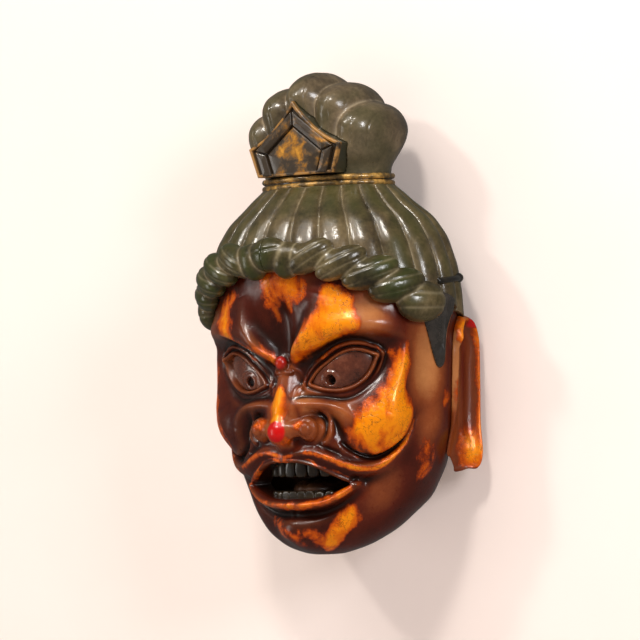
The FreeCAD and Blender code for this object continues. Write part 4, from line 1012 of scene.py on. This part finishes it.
class Finish:
    """A node tree built step by step; every texture is laid out in the object's own coordinates."""

    def __init__(self, name):
        self.mat = bpy.data.materials.new(name)
        self.mat.use_nodes = True
        t = self.mat.node_tree
        t.nodes.clear()
        self.nodes, self.links = t.nodes, t.links
        self.shader = t.nodes.new("ShaderNodeBsdfPrincipled")
        out = t.nodes.new("ShaderNodeOutputMaterial")
        self.links.new(self.shader.outputs[0], out.inputs["Surface"])
        coord = t.nodes.new("ShaderNodeTexCoord")
        self.co = coord.outputs["Object"]

    def put(self, socket, value):
        if hasattr(value, "is_output") or isinstance(value, bpy.types.NodeSocket):
            self.links.new(value, socket)
        else:
            socket.default_value = value

    def attr(self, name):
        n = self.nodes.new("ShaderNodeAttribute")
        n.attribute_name = name
        return n.outputs["Fac"]

    def math(self, op, a, b=0.0, c=None, clamp=False):
        n = self.nodes.new("ShaderNodeMath")
        n.operation = op
        n.use_clamp = clamp
        self.put(n.inputs[0], a)
        self.put(n.inputs[1], b)
        if c is not None:
            self.put(n.inputs[2], c)
        return n.outputs[0]

    def noise(self, scale, detail=5.0, rough=0.55, stretch=None, seed=0.0, distort=0.0):
        co = self.co
        if stretch or seed:
            m = self.nodes.new("ShaderNodeMapping")
            m.inputs["Scale"].default_value = stretch or (1, 1, 1)
            m.inputs["Location"].default_value = (seed, seed * 0.7, seed * 1.3)
            self.links.new(co, m.inputs["Vector"])
            co = m.outputs[0]
        n = self.nodes.new("ShaderNodeTexNoise")
        self.links.new(co, n.inputs["Vector"])
        n.inputs["Scale"].default_value = scale
        n.inputs["Detail"].default_value = detail
        n.inputs["Roughness"].default_value = rough
        n.inputs["Distortion"].default_value = distort
        return n.outputs["Fac"]

    def cells(self, scale, feature="DISTANCE_TO_EDGE", warp=0.0, stretch=None):
        co = self.co
        if warp:
            w = self.nodes.new("ShaderNodeTexNoise")
            self.links.new(co, w.inputs["Vector"])
            w.inputs["Scale"].default_value = scale * 0.6
            w.inputs["Detail"].default_value = 4.0
            mx = self.nodes.new("ShaderNodeMix")
            mx.data_type = "VECTOR"
            mx.inputs["Factor"].default_value = warp
            self.links.new(co, mx.inputs[4])
            self.links.new(w.outputs["Color"], mx.inputs[5])
            co = mx.outputs[1]
        n = self.nodes.new("ShaderNodeTexVoronoi")
        n.feature = feature
        self.links.new(co, n.inputs["Vector"])
        n.inputs["Scale"].default_value = scale
        return n.outputs["Distance"]

    def span(self, v, a, b, lo=0.0, hi=1.0, smooth=True):
        n = self.nodes.new("ShaderNodeMapRange")
        n.interpolation_type = "SMOOTHSTEP" if smooth else "LINEAR"
        self.put(n.inputs["Value"], v)
        for key, x in (("From Min", a), ("From Max", b), ("To Min", lo), ("To Max", hi)):
            n.inputs[key].default_value = x
        return n.outputs["Result"]

    def ramp(self, v, stops):
        n = self.nodes.new("ShaderNodeValToRGB")
        self.put(n.inputs["Fac"], v)
        el = n.color_ramp.elements
        while len(el) < len(stops):
            el.new(0.5)
        for e, (pos, col) in zip(el, stops):
            e.position = pos
            e.color = lin(*col)
        return n.outputs["Color"]

    def mix(self, fac, a, b, mode="MIX"):
        n = self.nodes.new("ShaderNodeMix")
        n.data_type = "RGBA"
        n.blend_type = mode
        self.put(n.inputs["Factor"], fac)
        self.put(n.inputs[6], a)
        self.put(n.inputs[7], b)
        return n.outputs[2]

    def bump(self, height, strength, distance, normal=None):
        n = self.nodes.new("ShaderNodeBump")
        n.inputs["Strength"].default_value = strength
        n.inputs["Distance"].default_value = distance
        self.links.new(height, n.inputs["Height"])
        if normal is not None:
            self.links.new(normal, n.inputs["Normal"])
        return n.outputs["Normal"]

    def set(self, **inputs):
        for key, v in inputs.items():
            self.put(self.shader.inputs[key.replace("_", " ")], v)
        return self


def wood_tone(f, dark=(92, 58, 34), light=(168, 122, 78)):
    """Bare carved wood: grain runs up and down, with stains."""
    grain = f.noise(240.0, 6.0, 0.6, stretch=(1.0, 1.0, 0.06), distort=0.6)
    stain = f.noise(22.0, 4.0, 0.5, seed=3.0)
    both = f.math("MULTIPLY_ADD", stain, 0.5, f.math("MULTIPLY", grain, 0.7))
    return f.ramp(both, [(0.32, dark), (0.52, tuple((a + b) // 2 for a, b in zip(dark, light))), (0.78, light)]), grain


def face_finish(name, maroon=False):
    f = Finish(name)
    gilt, brown, red, cav, wide, outer = (f.attr(k) for k in ("gilt", "brown", "red", "cav", "wide", "outer"))
    n1 = f.noise(70.0, 9.0, 0.68, seed=1.7)
    n2 = f.noise(360.0, 6.0, 0.7, seed=5.1, distort=0.8)
    n3 = f.noise(28.0, 3.0, 0.5, seed=9.3)
    n4 = f.noise(130.0, 5.0, 0.6, stretch=(1.0, 1.0, 0.32), seed=3.3, distort=1.2)
    field = f.math("MULTIPLY_ADD", f.math("SUBTRACT", n1, 0.5), 1.15, f.math("MULTIPLY", gilt, 1.0))
    field = f.math("MULTIPLY_ADD", f.math("SUBTRACT", n4, 0.5), 0.75, field)
    field = f.math("MULTIPLY_ADD", f.math("SUBTRACT", n2, 0.5), 0.5, field)
    # painted shade: the gilding thins out where the surface sinks below its surroundings
    field = f.math("SUBTRACT", field, f.math("MULTIPLY", f.math("MAXIMUM", cav, 0.0), 0.22))
    field = f.math("MULTIPLY", field, f.span(gilt, 0.02, 0.24))
    tone = f.math("MULTIPLY_ADD", brown, 0.62, f.math("MULTIPLY", n3, 0.35))
    tone = f.math("MULTIPLY_ADD", f.math("SUBTRACT", n2, 0.5), 0.16, tone)
    base = f.ramp(tone, [(0.10, (44, 9, 3)), (0.30, (80, 23, 6)), (0.52, (128, 62, 27)), (0.78, (180, 116, 65))])
    amber = f.ramp(field, [(0.20, (78, 22, 5)), (0.36, (142, 47, 2)), (0.54, (192, 78, 1)), (0.74, (222, 108, 0)), (1.0, (243, 142, 1))])
    leaf = f.span(field, 0.20, 0.50)
    col = f.mix(leaf, base, amber)
    # fine cracks and rubbed flecks in the leaf
    crack = f.cells(210.0, warp=0.02)
    crack = f.math("MULTIPLY", f.span(crack, 0.055, 0.0), f.span(n1, 0.42, 0.56))
    col = f.mix(f.math("MULTIPLY", f.math("MULTIPLY", crack, leaf), 0.7), col, lin(84, 24, 8))
    fleck = f.math("MULTIPLY", f.span(n2, 0.60, 0.70), leaf)
    col = f.mix(f.math("MULTIPLY", fleck, 0.55), col, lin(120, 40, 8))
    # painted shade: creases, hollows and the deep mouth walls darken towards near-black brown
    recess_shade = f.math("ADD", f.math("MULTIPLY", cav, 0.62), f.math("MULTIPLY", wide, 0.20), clamp=True)
    col = f.mix(recess_shade, col, lin(30, 10, 4))
    wear = f.math("MULTIPLY", f.math("MULTIPLY", f.math("MINIMUM", cav, 0.0), -0.35), n1, clamp=True)
    col = f.mix(wear, col, lin(186, 104, 52))
    col = f.mix(red, col, lin(186, 8, 7))
    if maroon:
        col = f.mix(f.math("MULTIPLY", f.attr("maroon"), 0.85), col, lin(86, 20, 12))
    wood, grain = wood_tone(f)
    col = f.mix(outer, wood, col)
    leafy = f.math("MULTIPLY", leaf, outer)
    f.set(Specular_IOR_Level=0.22)
    f.set(Base_Color=col, Metallic=f.math("MULTIPLY", leafy, 0.22), Roughness=f.mix_value(outer, 0.72, f.math("MULTIPLY_ADD", n2, 0.22, 0.20)),
          Coat_Weight=f.math("MULTIPLY", outer, 0.42), Coat_Roughness=0.05)
    h = f.math("MULTIPLY_ADD", n2, 0.5, f.math("MULTIPLY", n1, 1.0))
    h = f.math("SUBTRACT", h, f.math("MULTIPLY", f.math("MULTIPLY", crack, leafy), 0.6))
    rough_wood = f.math("MULTIPLY", grain, f.math("SUBTRACT", 1.0, outer))
    h = f.math("ADD", h, f.math("MULTIPLY", rough_wood, 2.2))
    nrm = f.bump(h, 0.35, 0.0006)
    f.put(f.shader.inputs["Normal"], nrm)
    f.put(f.shader.inputs["Coat Normal"], nrm)
    return f.mat


def mix_value(self, fac, a, b):
    n = self.nodes.new("ShaderNodeMix")
    n.data_type = "FLOAT"
    self.put(n.inputs["Factor"], fac)
    self.put(n.inputs[2], a)
    self.put(n.inputs[3], b)
    return n.outputs[0]


Finish.mix_value = mix_value


def hair_finish(name, dark=(46, 38, 25), mid=(86, 72, 48), light=(126, 108, 78), green=(52, 56, 20), line=(162, 148, 118), line_amount=0.7):
    f = Finish(name)
    groove, outer, crest = f.attr("groove"), f.attr("outer"), f.attr("crest")
    n1 = f.noise(46.0, 7.0, 0.62, seed=2.1)
    n2 = f.noise(420.0, 5.0, 0.65, seed=7.7)
    n3 = f.noise(18.0, 3.0, 0.5, seed=4.4)
    tone = f.math("MULTIPLY_ADD", f.math("SUBTRACT", n2, 0.5), 0.35, n1)
    col = f.ramp(tone, [(0.30, dark), (0.50, mid), (0.72, light)])
    col = f.mix(f.math("MULTIPLY", f.span(n3, 0.42, 0.62), f.math("MULTIPLY", crest, 0.6)), col, lin(*green))
    pale = f.math("MULTIPLY", f.math("MULTIPLY", groove, f.span(n1, 0.30, 0.56)), line_amount)
    col = f.mix(pale, col, lin(*line))
    wood, grain = wood_tone(f)
    col = f.mix(outer, wood, col)
    f.set(Specular_IOR_Level=0.35)
    f.set(Base_Color=col, Roughness=f.mix_value(outer, 0.72, f.math("MULTIPLY_ADD", n2, 0.24, 0.20)), Coat_Weight=f.math("MULTIPLY", outer, 0.55), Coat_Roughness=0.07)
    h = f.math("MULTIPLY_ADD", n2, 0.6, n1)
    h = f.math("ADD", h, f.math("MULTIPLY", f.math("MULTIPLY", grain, f.math("SUBTRACT", 1.0, outer)), 2.2))
    nrm = f.bump(h, 0.35, 0.0007)
    f.put(f.shader.inputs["Normal"], nrm)
    f.put(f.shader.inputs["Coat Normal"], nrm)
    return f.mat


def crown_finish(name, gold_at=0.5, lined=True):
    f = Finish(name)
    n1 = f.noise(95.0, 7.0, 0.6, seed=6.2, distort=0.5)
    n2 = f.noise(560.0, 5.0, 0.65, seed=1.1)
    tone = f.math("MULTIPLY_ADD", f.math("SUBTRACT", n2, 0.5), 0.22, n1)
    col = f.ramp(tone, [(gold_at - 0.10, (50, 39, 26)), (gold_at - 0.02, (92, 68, 38)), (gold_at + 0.05, (146, 98, 34)), (gold_at + 0.17, (208, 146, 48))])
    if lined:
        rim = f.attr("rim")
        edge = f.math("MULTIPLY", rim, f.span(n1, 0.38, 0.54))
        col = f.mix(f.math("MULTIPLY", edge, 0.75), col, lin(176, 126, 60))
        col = f.mix(f.math("MULTIPLY", f.attr("line"), 0.9), col, lin(20, 14, 9))
        col = f.mix(f.attr("outer"), lin(50, 48, 32), col)
    shine = f.span(tone, gold_at - 0.04, gold_at + 0.06)
    f.set(Base_Color=col, Metallic=f.math("MULTIPLY", shine, 0.35), Roughness=f.math("MULTIPLY_ADD", n2, 0.25, 0.24), Coat_Weight=0.4, Coat_Roughness=0.12)
    f.put(f.shader.inputs["Normal"], f.bump(f.math("MULTIPLY_ADD", n2, 0.5, n1), 0.4, 0.0005))
    return f.mat


def plain_finish(name, stops, scale=60.0, rough=(0.2, 0.4), coat=0.6, metal=0.0, bump=0.3, depth=0.0005, stretch=None, fine=500.0):
    f = Finish(name)
    n1 = f.noise(scale, 7.0, 0.6, stretch=stretch, seed=1.3)
    n2 = f.noise(fine, 5.0, 0.65, seed=8.8)
    tone = f.math("MULTIPLY_ADD", f.math("SUBTRACT", n2, 0.5), 0.3, n1)
    f.set(Base_Color=f.ramp(tone, stops), Metallic=metal, Roughness=f.math("MULTIPLY_ADD", n2, rough[1] - rough[0], rough[0]), Coat_Weight=coat, Coat_Roughness=0.08)
    f.put(f.shader.inputs["Normal"], f.bump(f.math("MULTIPLY_ADD", n2, 0.5, n1), bump, depth))
    return f.mat


m_face = face_finish("face_lacquer")
m_ear = face_finish("ear_lacquer", maroon=True)
m_hair = hair_finish("hair_lacquer")
m_knot = hair_finish("topknot_lacquer", dark=(58, 48, 36), mid=(94, 80, 60), light=(134, 115, 88), green=(66, 64, 38), line=(168, 152, 126), line_amount=0.6)
m_braid = hair_finish("braid_lacquer", dark=(35, 30, 17), mid=(68, 59, 34), light=(106, 92, 62), green=(46, 58, 14), line=(152, 140, 110), line_amount=0.62)
m_black = plain_finish("black_lacquer", [(0.3, (30, 27, 24)), (0.5, (46, 42, 38)), (0.7, (66, 60, 54))], scale=50.0, rough=(0.14, 0.28), coat=0.7, bump=0.10, fine=260.0)
m_tie = plain_finish("tie_lacquer", [(0.3, (14, 12, 9)), (0.5, (24, 20, 14)), (0.7, (46, 38, 26))], scale=90.0, rough=(0.25, 0.45), coat=0.4)
m_cord = plain_finish("cord_gilding", [(0.34, (62, 50, 32)), (0.46, (112, 88, 50)), (0.56, (176, 134, 66)), (0.68, (220, 172, 92))], scale=120.0, rough=(0.22, 0.42), coat=0.3, metal=0.3, bump=0.5)
m_plate = crown_finish("crown_gilding", gold_at=0.63)
m_bars = crown_finish("crown_bars", gold_at=0.62, lined=False)
m_panel = crown_finish("crown_panel_leaf", gold_at=0.52, lined=False)
m_eye = plain_finish("eye_lacquer", [(0.3, (50, 21, 12)), (0.5, (84, 41, 26)), (0.72, (116, 66, 45))], scale=70.0, rough=(0.14, 0.30), coat=0.85, bump=0.2)
m_teeth = plain_finish("teeth_lacquer", [(0.3, (24, 17, 9)), (0.5, (42, 31, 18)), (0.72, (64, 50, 30))], scale=160.0, rough=(0.22, 0.42), coat=0.5, bump=0.25)
m_mouth = plain_finish("mouth_lacquer", [(0.3, (50, 29, 17)), (0.5, (82, 49, 29)), (0.72, (112, 72, 44))], scale=120.0, rough=(0.3, 0.5), coat=0.4)
m_steel = plain_finish("zinc_wire", [(0.3, (120, 120, 122)), (0.5, (158, 158, 160)), (0.7, (190, 190, 190))], scale=400.0, rough=(0.25, 0.45), coat=0.0, metal=1.0, bump=0.3, depth=0.0002, fine=2500.0)
m_brass = plain_finish("brass_sheet", [(0.3, (122, 88, 34)), (0.5, (172, 130, 58)), (0.7, (206, 166, 88))], scale=260.0, rough=(0.28, 0.5), coat=0.0, metal=1.0, bump=0.3, depth=0.0002, stretch=(1, 1, 6.0), fine=1800.0)


def bare_wood():
    f = Finish("bare_wood")
    col, grain = wood_tone(f, (120, 82, 48), (196, 150, 100))
    f.set(Base_Color=col, Roughness=f.math("MULTIPLY_ADD", grain, 0.2, 0.55))
    f.put(f.shader.inputs["Normal"], f.bump(grain, 0.5, 0.0008))
    return f.mat


m_wood = bare_wood()


# ---------------------------------------------------------------- pieces
def mirror(v, n):
    v, n = v.copy(), n.copy()
    v[:, 0] *= -1
    n[:, 0] *= -1
    return v, n


V, Q, N = nets(face_form, (-89, -125, -2), (89, 2, 192), 0.82)
to_object("face_carving", V, Q, N, unit_marks(*V.T), m_face, replace=("face_shell",))

V, Q, N = nets(hair_form, (-92, -112, 130), (92, 2, 236), 0.95)
to_object("hair_carving", V, Q, N, hair_marks(*V.T), m_hair, replace=("hair_cap",))

V, Q, N = nets(knot_form, (-62, -86, 228.5), (62, -8, 308), 0.85)
to_object("topknot_carving", V, Q, N, knot_marks(*V.T), m_knot, replace=("topknot",))

V, Q, N = nets(plate_form, (-39, -82, 237.5), (39, -64, 288), 0.5)
to_object("crown_plate_carving", V, Q, N, plate_marks(*V.T), m_plate, replace=("crown_plate",))
V, Q, N = nets(bars_form, (-37, -83, 237.5), (37, -77, 284), 0.42)
to_object("crown_bars_carving", V, Q, N, None, m_bars, replace=("crown_frame",))
V, Q, N = nets(panel_form, (-26, -83, 237.5), (26, -77, 276), 0.5)
to_object("crown_panel_carving", V, Q, N, None, m_panel, replace=("crown_panel",))

for side, tag in ((1, "right"), (-1, "left")):
    form, marks = braid_form(side)
    box = ((-1.5, -122, 138), (101, -44, 203)) if side > 0 else ((-101, -122, 138), (1.5, -44, 203))
    V, Q, N = nets(form, box[0], box[1], 0.72)
    to_object("braid_carving_" + tag, V, Q, N, marks(*V.T), m_braid, replace=("braid_" + tag,))
    box = ((66, -66, 113), (92, -30, 170)) if side > 0 else ((-92, -66, 113), (-66, -30, 170))
    V, Q, N = nets(lock_form(side), box[0], box[1], 0.6)
    to_object("sideburn_carving_" + tag, V, Q, N, None, m_black, replace=("sideburn_" + tag,))
    box = ((56, -54, 164), (94, 1, 178)) if side > 0 else ((-94, -54, 164), (-56, 1, 178))
    V, Q, N = nets(tie_form(side), box[0], box[1], 0.55)
    to_object("hair_tie_" + tag, V, Q, N, None, m_tie, replace=("braid_tie_" + tag,))
    form, marks = ear_form(side)
    box = ((63, -40, 44), (91, 1, 155)) if side > 0 else ((-91, -40, 44), (-63, 1, 155))
    V, Q, N = nets(form, box[0], box[1], 0.6)
    to_object("ear_carving_" + tag, V, Q, N, marks(*V.T), m_ear, replace=("ear_" + tag,))
    box = ((8, -100, 96), (72, -55, 138)) if side > 0 else ((-72, -100, 96), (-8, -55, 138))
    V, Q, N = nets(eye_form(side), box[0], box[1], 0.6)
    to_object("eye_carving_" + tag, V, Q, N, None, m_eye, replace=("eye_" + tag,))

for tag, up, z0, z1 in (("upper", True, 51, 65), ("lower", False, 31, 43)):
    V, Q, N = nets(teeth_form(up), (-34, -98, z0), (34, -58, z1), 0.5)
    to_object("teeth_carving_" + tag, V, Q, N, None, m_teeth, replace=("teeth_" + tag,))
V, Q, N = nets(tongue_form, (-21, -92, 34), (21, -58, 52), 0.6)
to_object("tongue_carving", V, Q, N, None, m_mouth, replace=("tongue",))


# gilded cords: two turns laid round the topknot's neck, slightly uneven as hand-carved beads
def cord_mesh(name, z, node, seed):
    around, section = 220, 14
    a = np.linspace(0, 2 * np.pi, around, endpoint=False)
    s = np.linspace(0, 2 * np.pi, section, endpoint=False)
    A, S = np.meshgrid(a, s, indexing="ij")
    wob = 1 + 0.05 * np.sin(5 * A + seed) + 0.04 * np.sin(11 * A + 2 * seed)
    twist = 0.10 * np.cos(S * 1.0 - A * 46.0)
    r = (1.78 + twist) * wob
    grow = 0.85 + r * np.cos(S)
    x = (44.0 + grow) * np.sin(A)
    y = -45 - (30.0 + grow) * np.cos(A)
    zz = z + 1.78 + 0.25 * np.sin(2 * A + seed) + r * np.sin(S) * 0.98
    verts = np.stack([x.ravel(), np.minimum(y.ravel(), -0.5), zz.ravel()], 1)
    i = np.arange(around)[:, None]
    j = np.arange(section)[None, :]
    q = np.stack([(i * section + j), ((i + 1) % around) * section + j, ((i + 1) % around) * section + (j + 1) % section, i * section + (j + 1) % section], -1).reshape(-1, 4)
    to_object(name, verts, q, None, None, m_cord, replace=(node,))


cord_mesh("cord_low", 230.8, "topknot_cord_lower", 0.4)
cord_mesh("cord_high", 234.9, "topknot_cord_upper", 2.1)

# CAD pieces that are seen as they are
for node, mat in (("mouth_board", m_mouth), ("hanging_batten", m_wood), ("hanging_ring", m_steel), ("hanger_strap", m_brass), ("hanger_screws", m_brass),
                  ("seam_dowels", m_wood), ("ear_dowels", m_wood), ("batten_dowels", m_wood), ("topknot_dowel", m_wood), ("crown_dowel", m_wood)):
    ob = NODES[node]
    ob.data.materials.clear()
    ob.data.materials.append(mat)

# ---------------------------------------------------------------- stage, light, camera
def sheet(name, corners, mat):
    """Backdrop or floor: a finely divided sheet between four corners, metres."""
    n = 24
    c = [np.array(p, float) for p in corners]
    g = np.linspace(0, 1, n + 1)
    pts = np.array([(1 - u) * (1 - v) * c[0] + u * (1 - v) * c[1] + u * v * c[2] + (1 - u) * v * c[3] for u in g for v in g])
    i, j = np.meshgrid(np.arange(n), np.arange(n), indexing="ij")
    q = np.stack([i * (n + 1) + j, (i + 1) * (n + 1) + j, (i + 1) * (n + 1) + j + 1, i * (n + 1) + j + 1], -1).reshape(-1, 4)
    me = bpy.data.meshes.new(name)
    me.from_pydata(pts.tolist(), [], q.tolist())
    me.update()
    ob = bpy.data.objects.new(name, me)
    bpy.context.scene.collection.objects.link(ob)
    me.materials.append(mat)
    return ob


def wall_paint(name, see_through):
    f = Finish(name)
    n = f.noise(3.0, 3.0, 0.5)
    g = f.noise(900.0, 3.0, 0.6)
    f.set(Base_Color=f.ramp(n, [(0.3, (233, 218, 211)), (0.7, (237, 224, 218))]), Roughness=0.85)
    f.put(f.shader.inputs["Normal"], f.bump(g, 0.08, 0.0004))
    f.set(Emission_Color=(1.0, 0.88, 0.81, 1.0), Emission_Strength=0.108)
    if see_through:
        geo = f.nodes.new("ShaderNodeNewGeometry")
        clear = f.nodes.new("ShaderNodeBsdfTransparent")
        m = f.nodes.new("ShaderNodeMixShader")
        f.links.new(geo.outputs["Backfacing"], m.inputs[0])
        f.links.new(f.shader.outputs[0], m.inputs[1])
        f.links.new(clear.outputs[0], m.inputs[2])
        out = next(x for x in f.nodes if x.type == "OUTPUT_MATERIAL")
        f.links.new(m.outputs[0], out.inputs["Surface"])
    return f.mat


wall = sheet("wall", [(-2.2, 0.0006, -0.46), (2.2, 0.0006, -0.46), (2.2, 0.0006, 2.0), (-2.2, 0.0006, 2.0)], wall_paint("wall_paint", True))
floor = sheet("floor", [(-2.2, -3.0, -0.46), (2.2, -3.0, -0.46), (2.2, 1.6, -0.46), (-2.2, 1.6, -0.46)], wall_paint("floor_paint", False))
wall.visible_shadow = False
wall.visible_diffuse = False
wall.visible_glossy = False
floor.visible_glossy = False

bpy.context.scene.view_settings.view_transform = "Standard"
bpy.context.scene.view_settings.look = "None"
world = bpy.data.worlds.new("studio")
bpy.context.scene.world = world
world.use_nodes = True
bg = world.node_tree.nodes["Background"]
bg.inputs["Color"].default_value = (1.0, 0.965, 0.92, 1.0)
bg.inputs["Strength"].default_value = 0.12


def lamp(name, where, aim, size, power, colour=(1, 1, 1), size_y=None):
    l = bpy.data.lights.new(name, "AREA")
    l.shape = "RECTANGLE"
    l.size = size
    l.size_y = size_y or size
    l.energy = power
    l.color = colour
    ob = bpy.data.objects.new(name, l)
    bpy.context.scene.collection.objects.link(ob)
    ob.location = where
    ob.rotation_mode = "QUATERNION"
    ob.rotation_quaternion = (Vector(aim) - Vector(where)).to_track_quat("-Z", "Y")
    return ob


lamp("key", (0.30, -1.05, 1.25), (0, -0.05, 0.0), 0.24, 15.0, (1.0, 0.95, 0.88))
lamp("left_spot", (-0.75, -1.2, 0.95), (0, -0.05, 0.0), 0.16, 8.5, (1.0, 0.95, 0.88))
lamp("window", (1.45, -0.75, 0.45), (0.02, -0.06, -0.03), 0.30, 14.5, (0.97, 0.97, 1.0), size_y=0.5)
lamp("low_left", (-1.3, -1.0, -0.1), (0, -0.06, -0.08), 0.25, 2.6, (1.0, 0.97, 0.92), size_y=0.7)
lamp("wall_wash", (-0.4, -1.6, 1.7), (-0.3, 0.0, 0.1), 1.2, 13.5, (1.0, 0.97, 0.93))

AZ, ROLL, DIST = math.radians(37.0), math.radians(2.5), 2.0
forward = Vector((-math.sin(AZ), math.cos(AZ), 0))
right0, up0 = Vector((math.cos(AZ), math.sin(AZ), 0)), Vector((0, 0, 1))
right = right0 * math.cos(ROLL) - up0 * math.sin(ROLL)
up = right0 * math.sin(ROLL) + up0 * math.cos(ROLL)
target = Vector((0, -0.060, -0.042))
cam = bpy.data.cameras.new("camera")
cam.sensor_width = 36.0
cam.lens = 36.0 / (2 * (0.32 * 0.63 / DIST))
eye = bpy.data.objects.new("camera", cam)
bpy.context.scene.collection.objects.link(eye)
eye.matrix_world = Matrix(((right.x, up.x, -forward.x, 0), (right.y, up.y, -forward.y, 0), (right.z, up.z, -forward.z, 0), (0, 0, 0, 1)))
eye.location = target - forward * DIST
cam.clip_start, cam.clip_end = 0.05, 30.0
bpy.context.scene.camera = eye
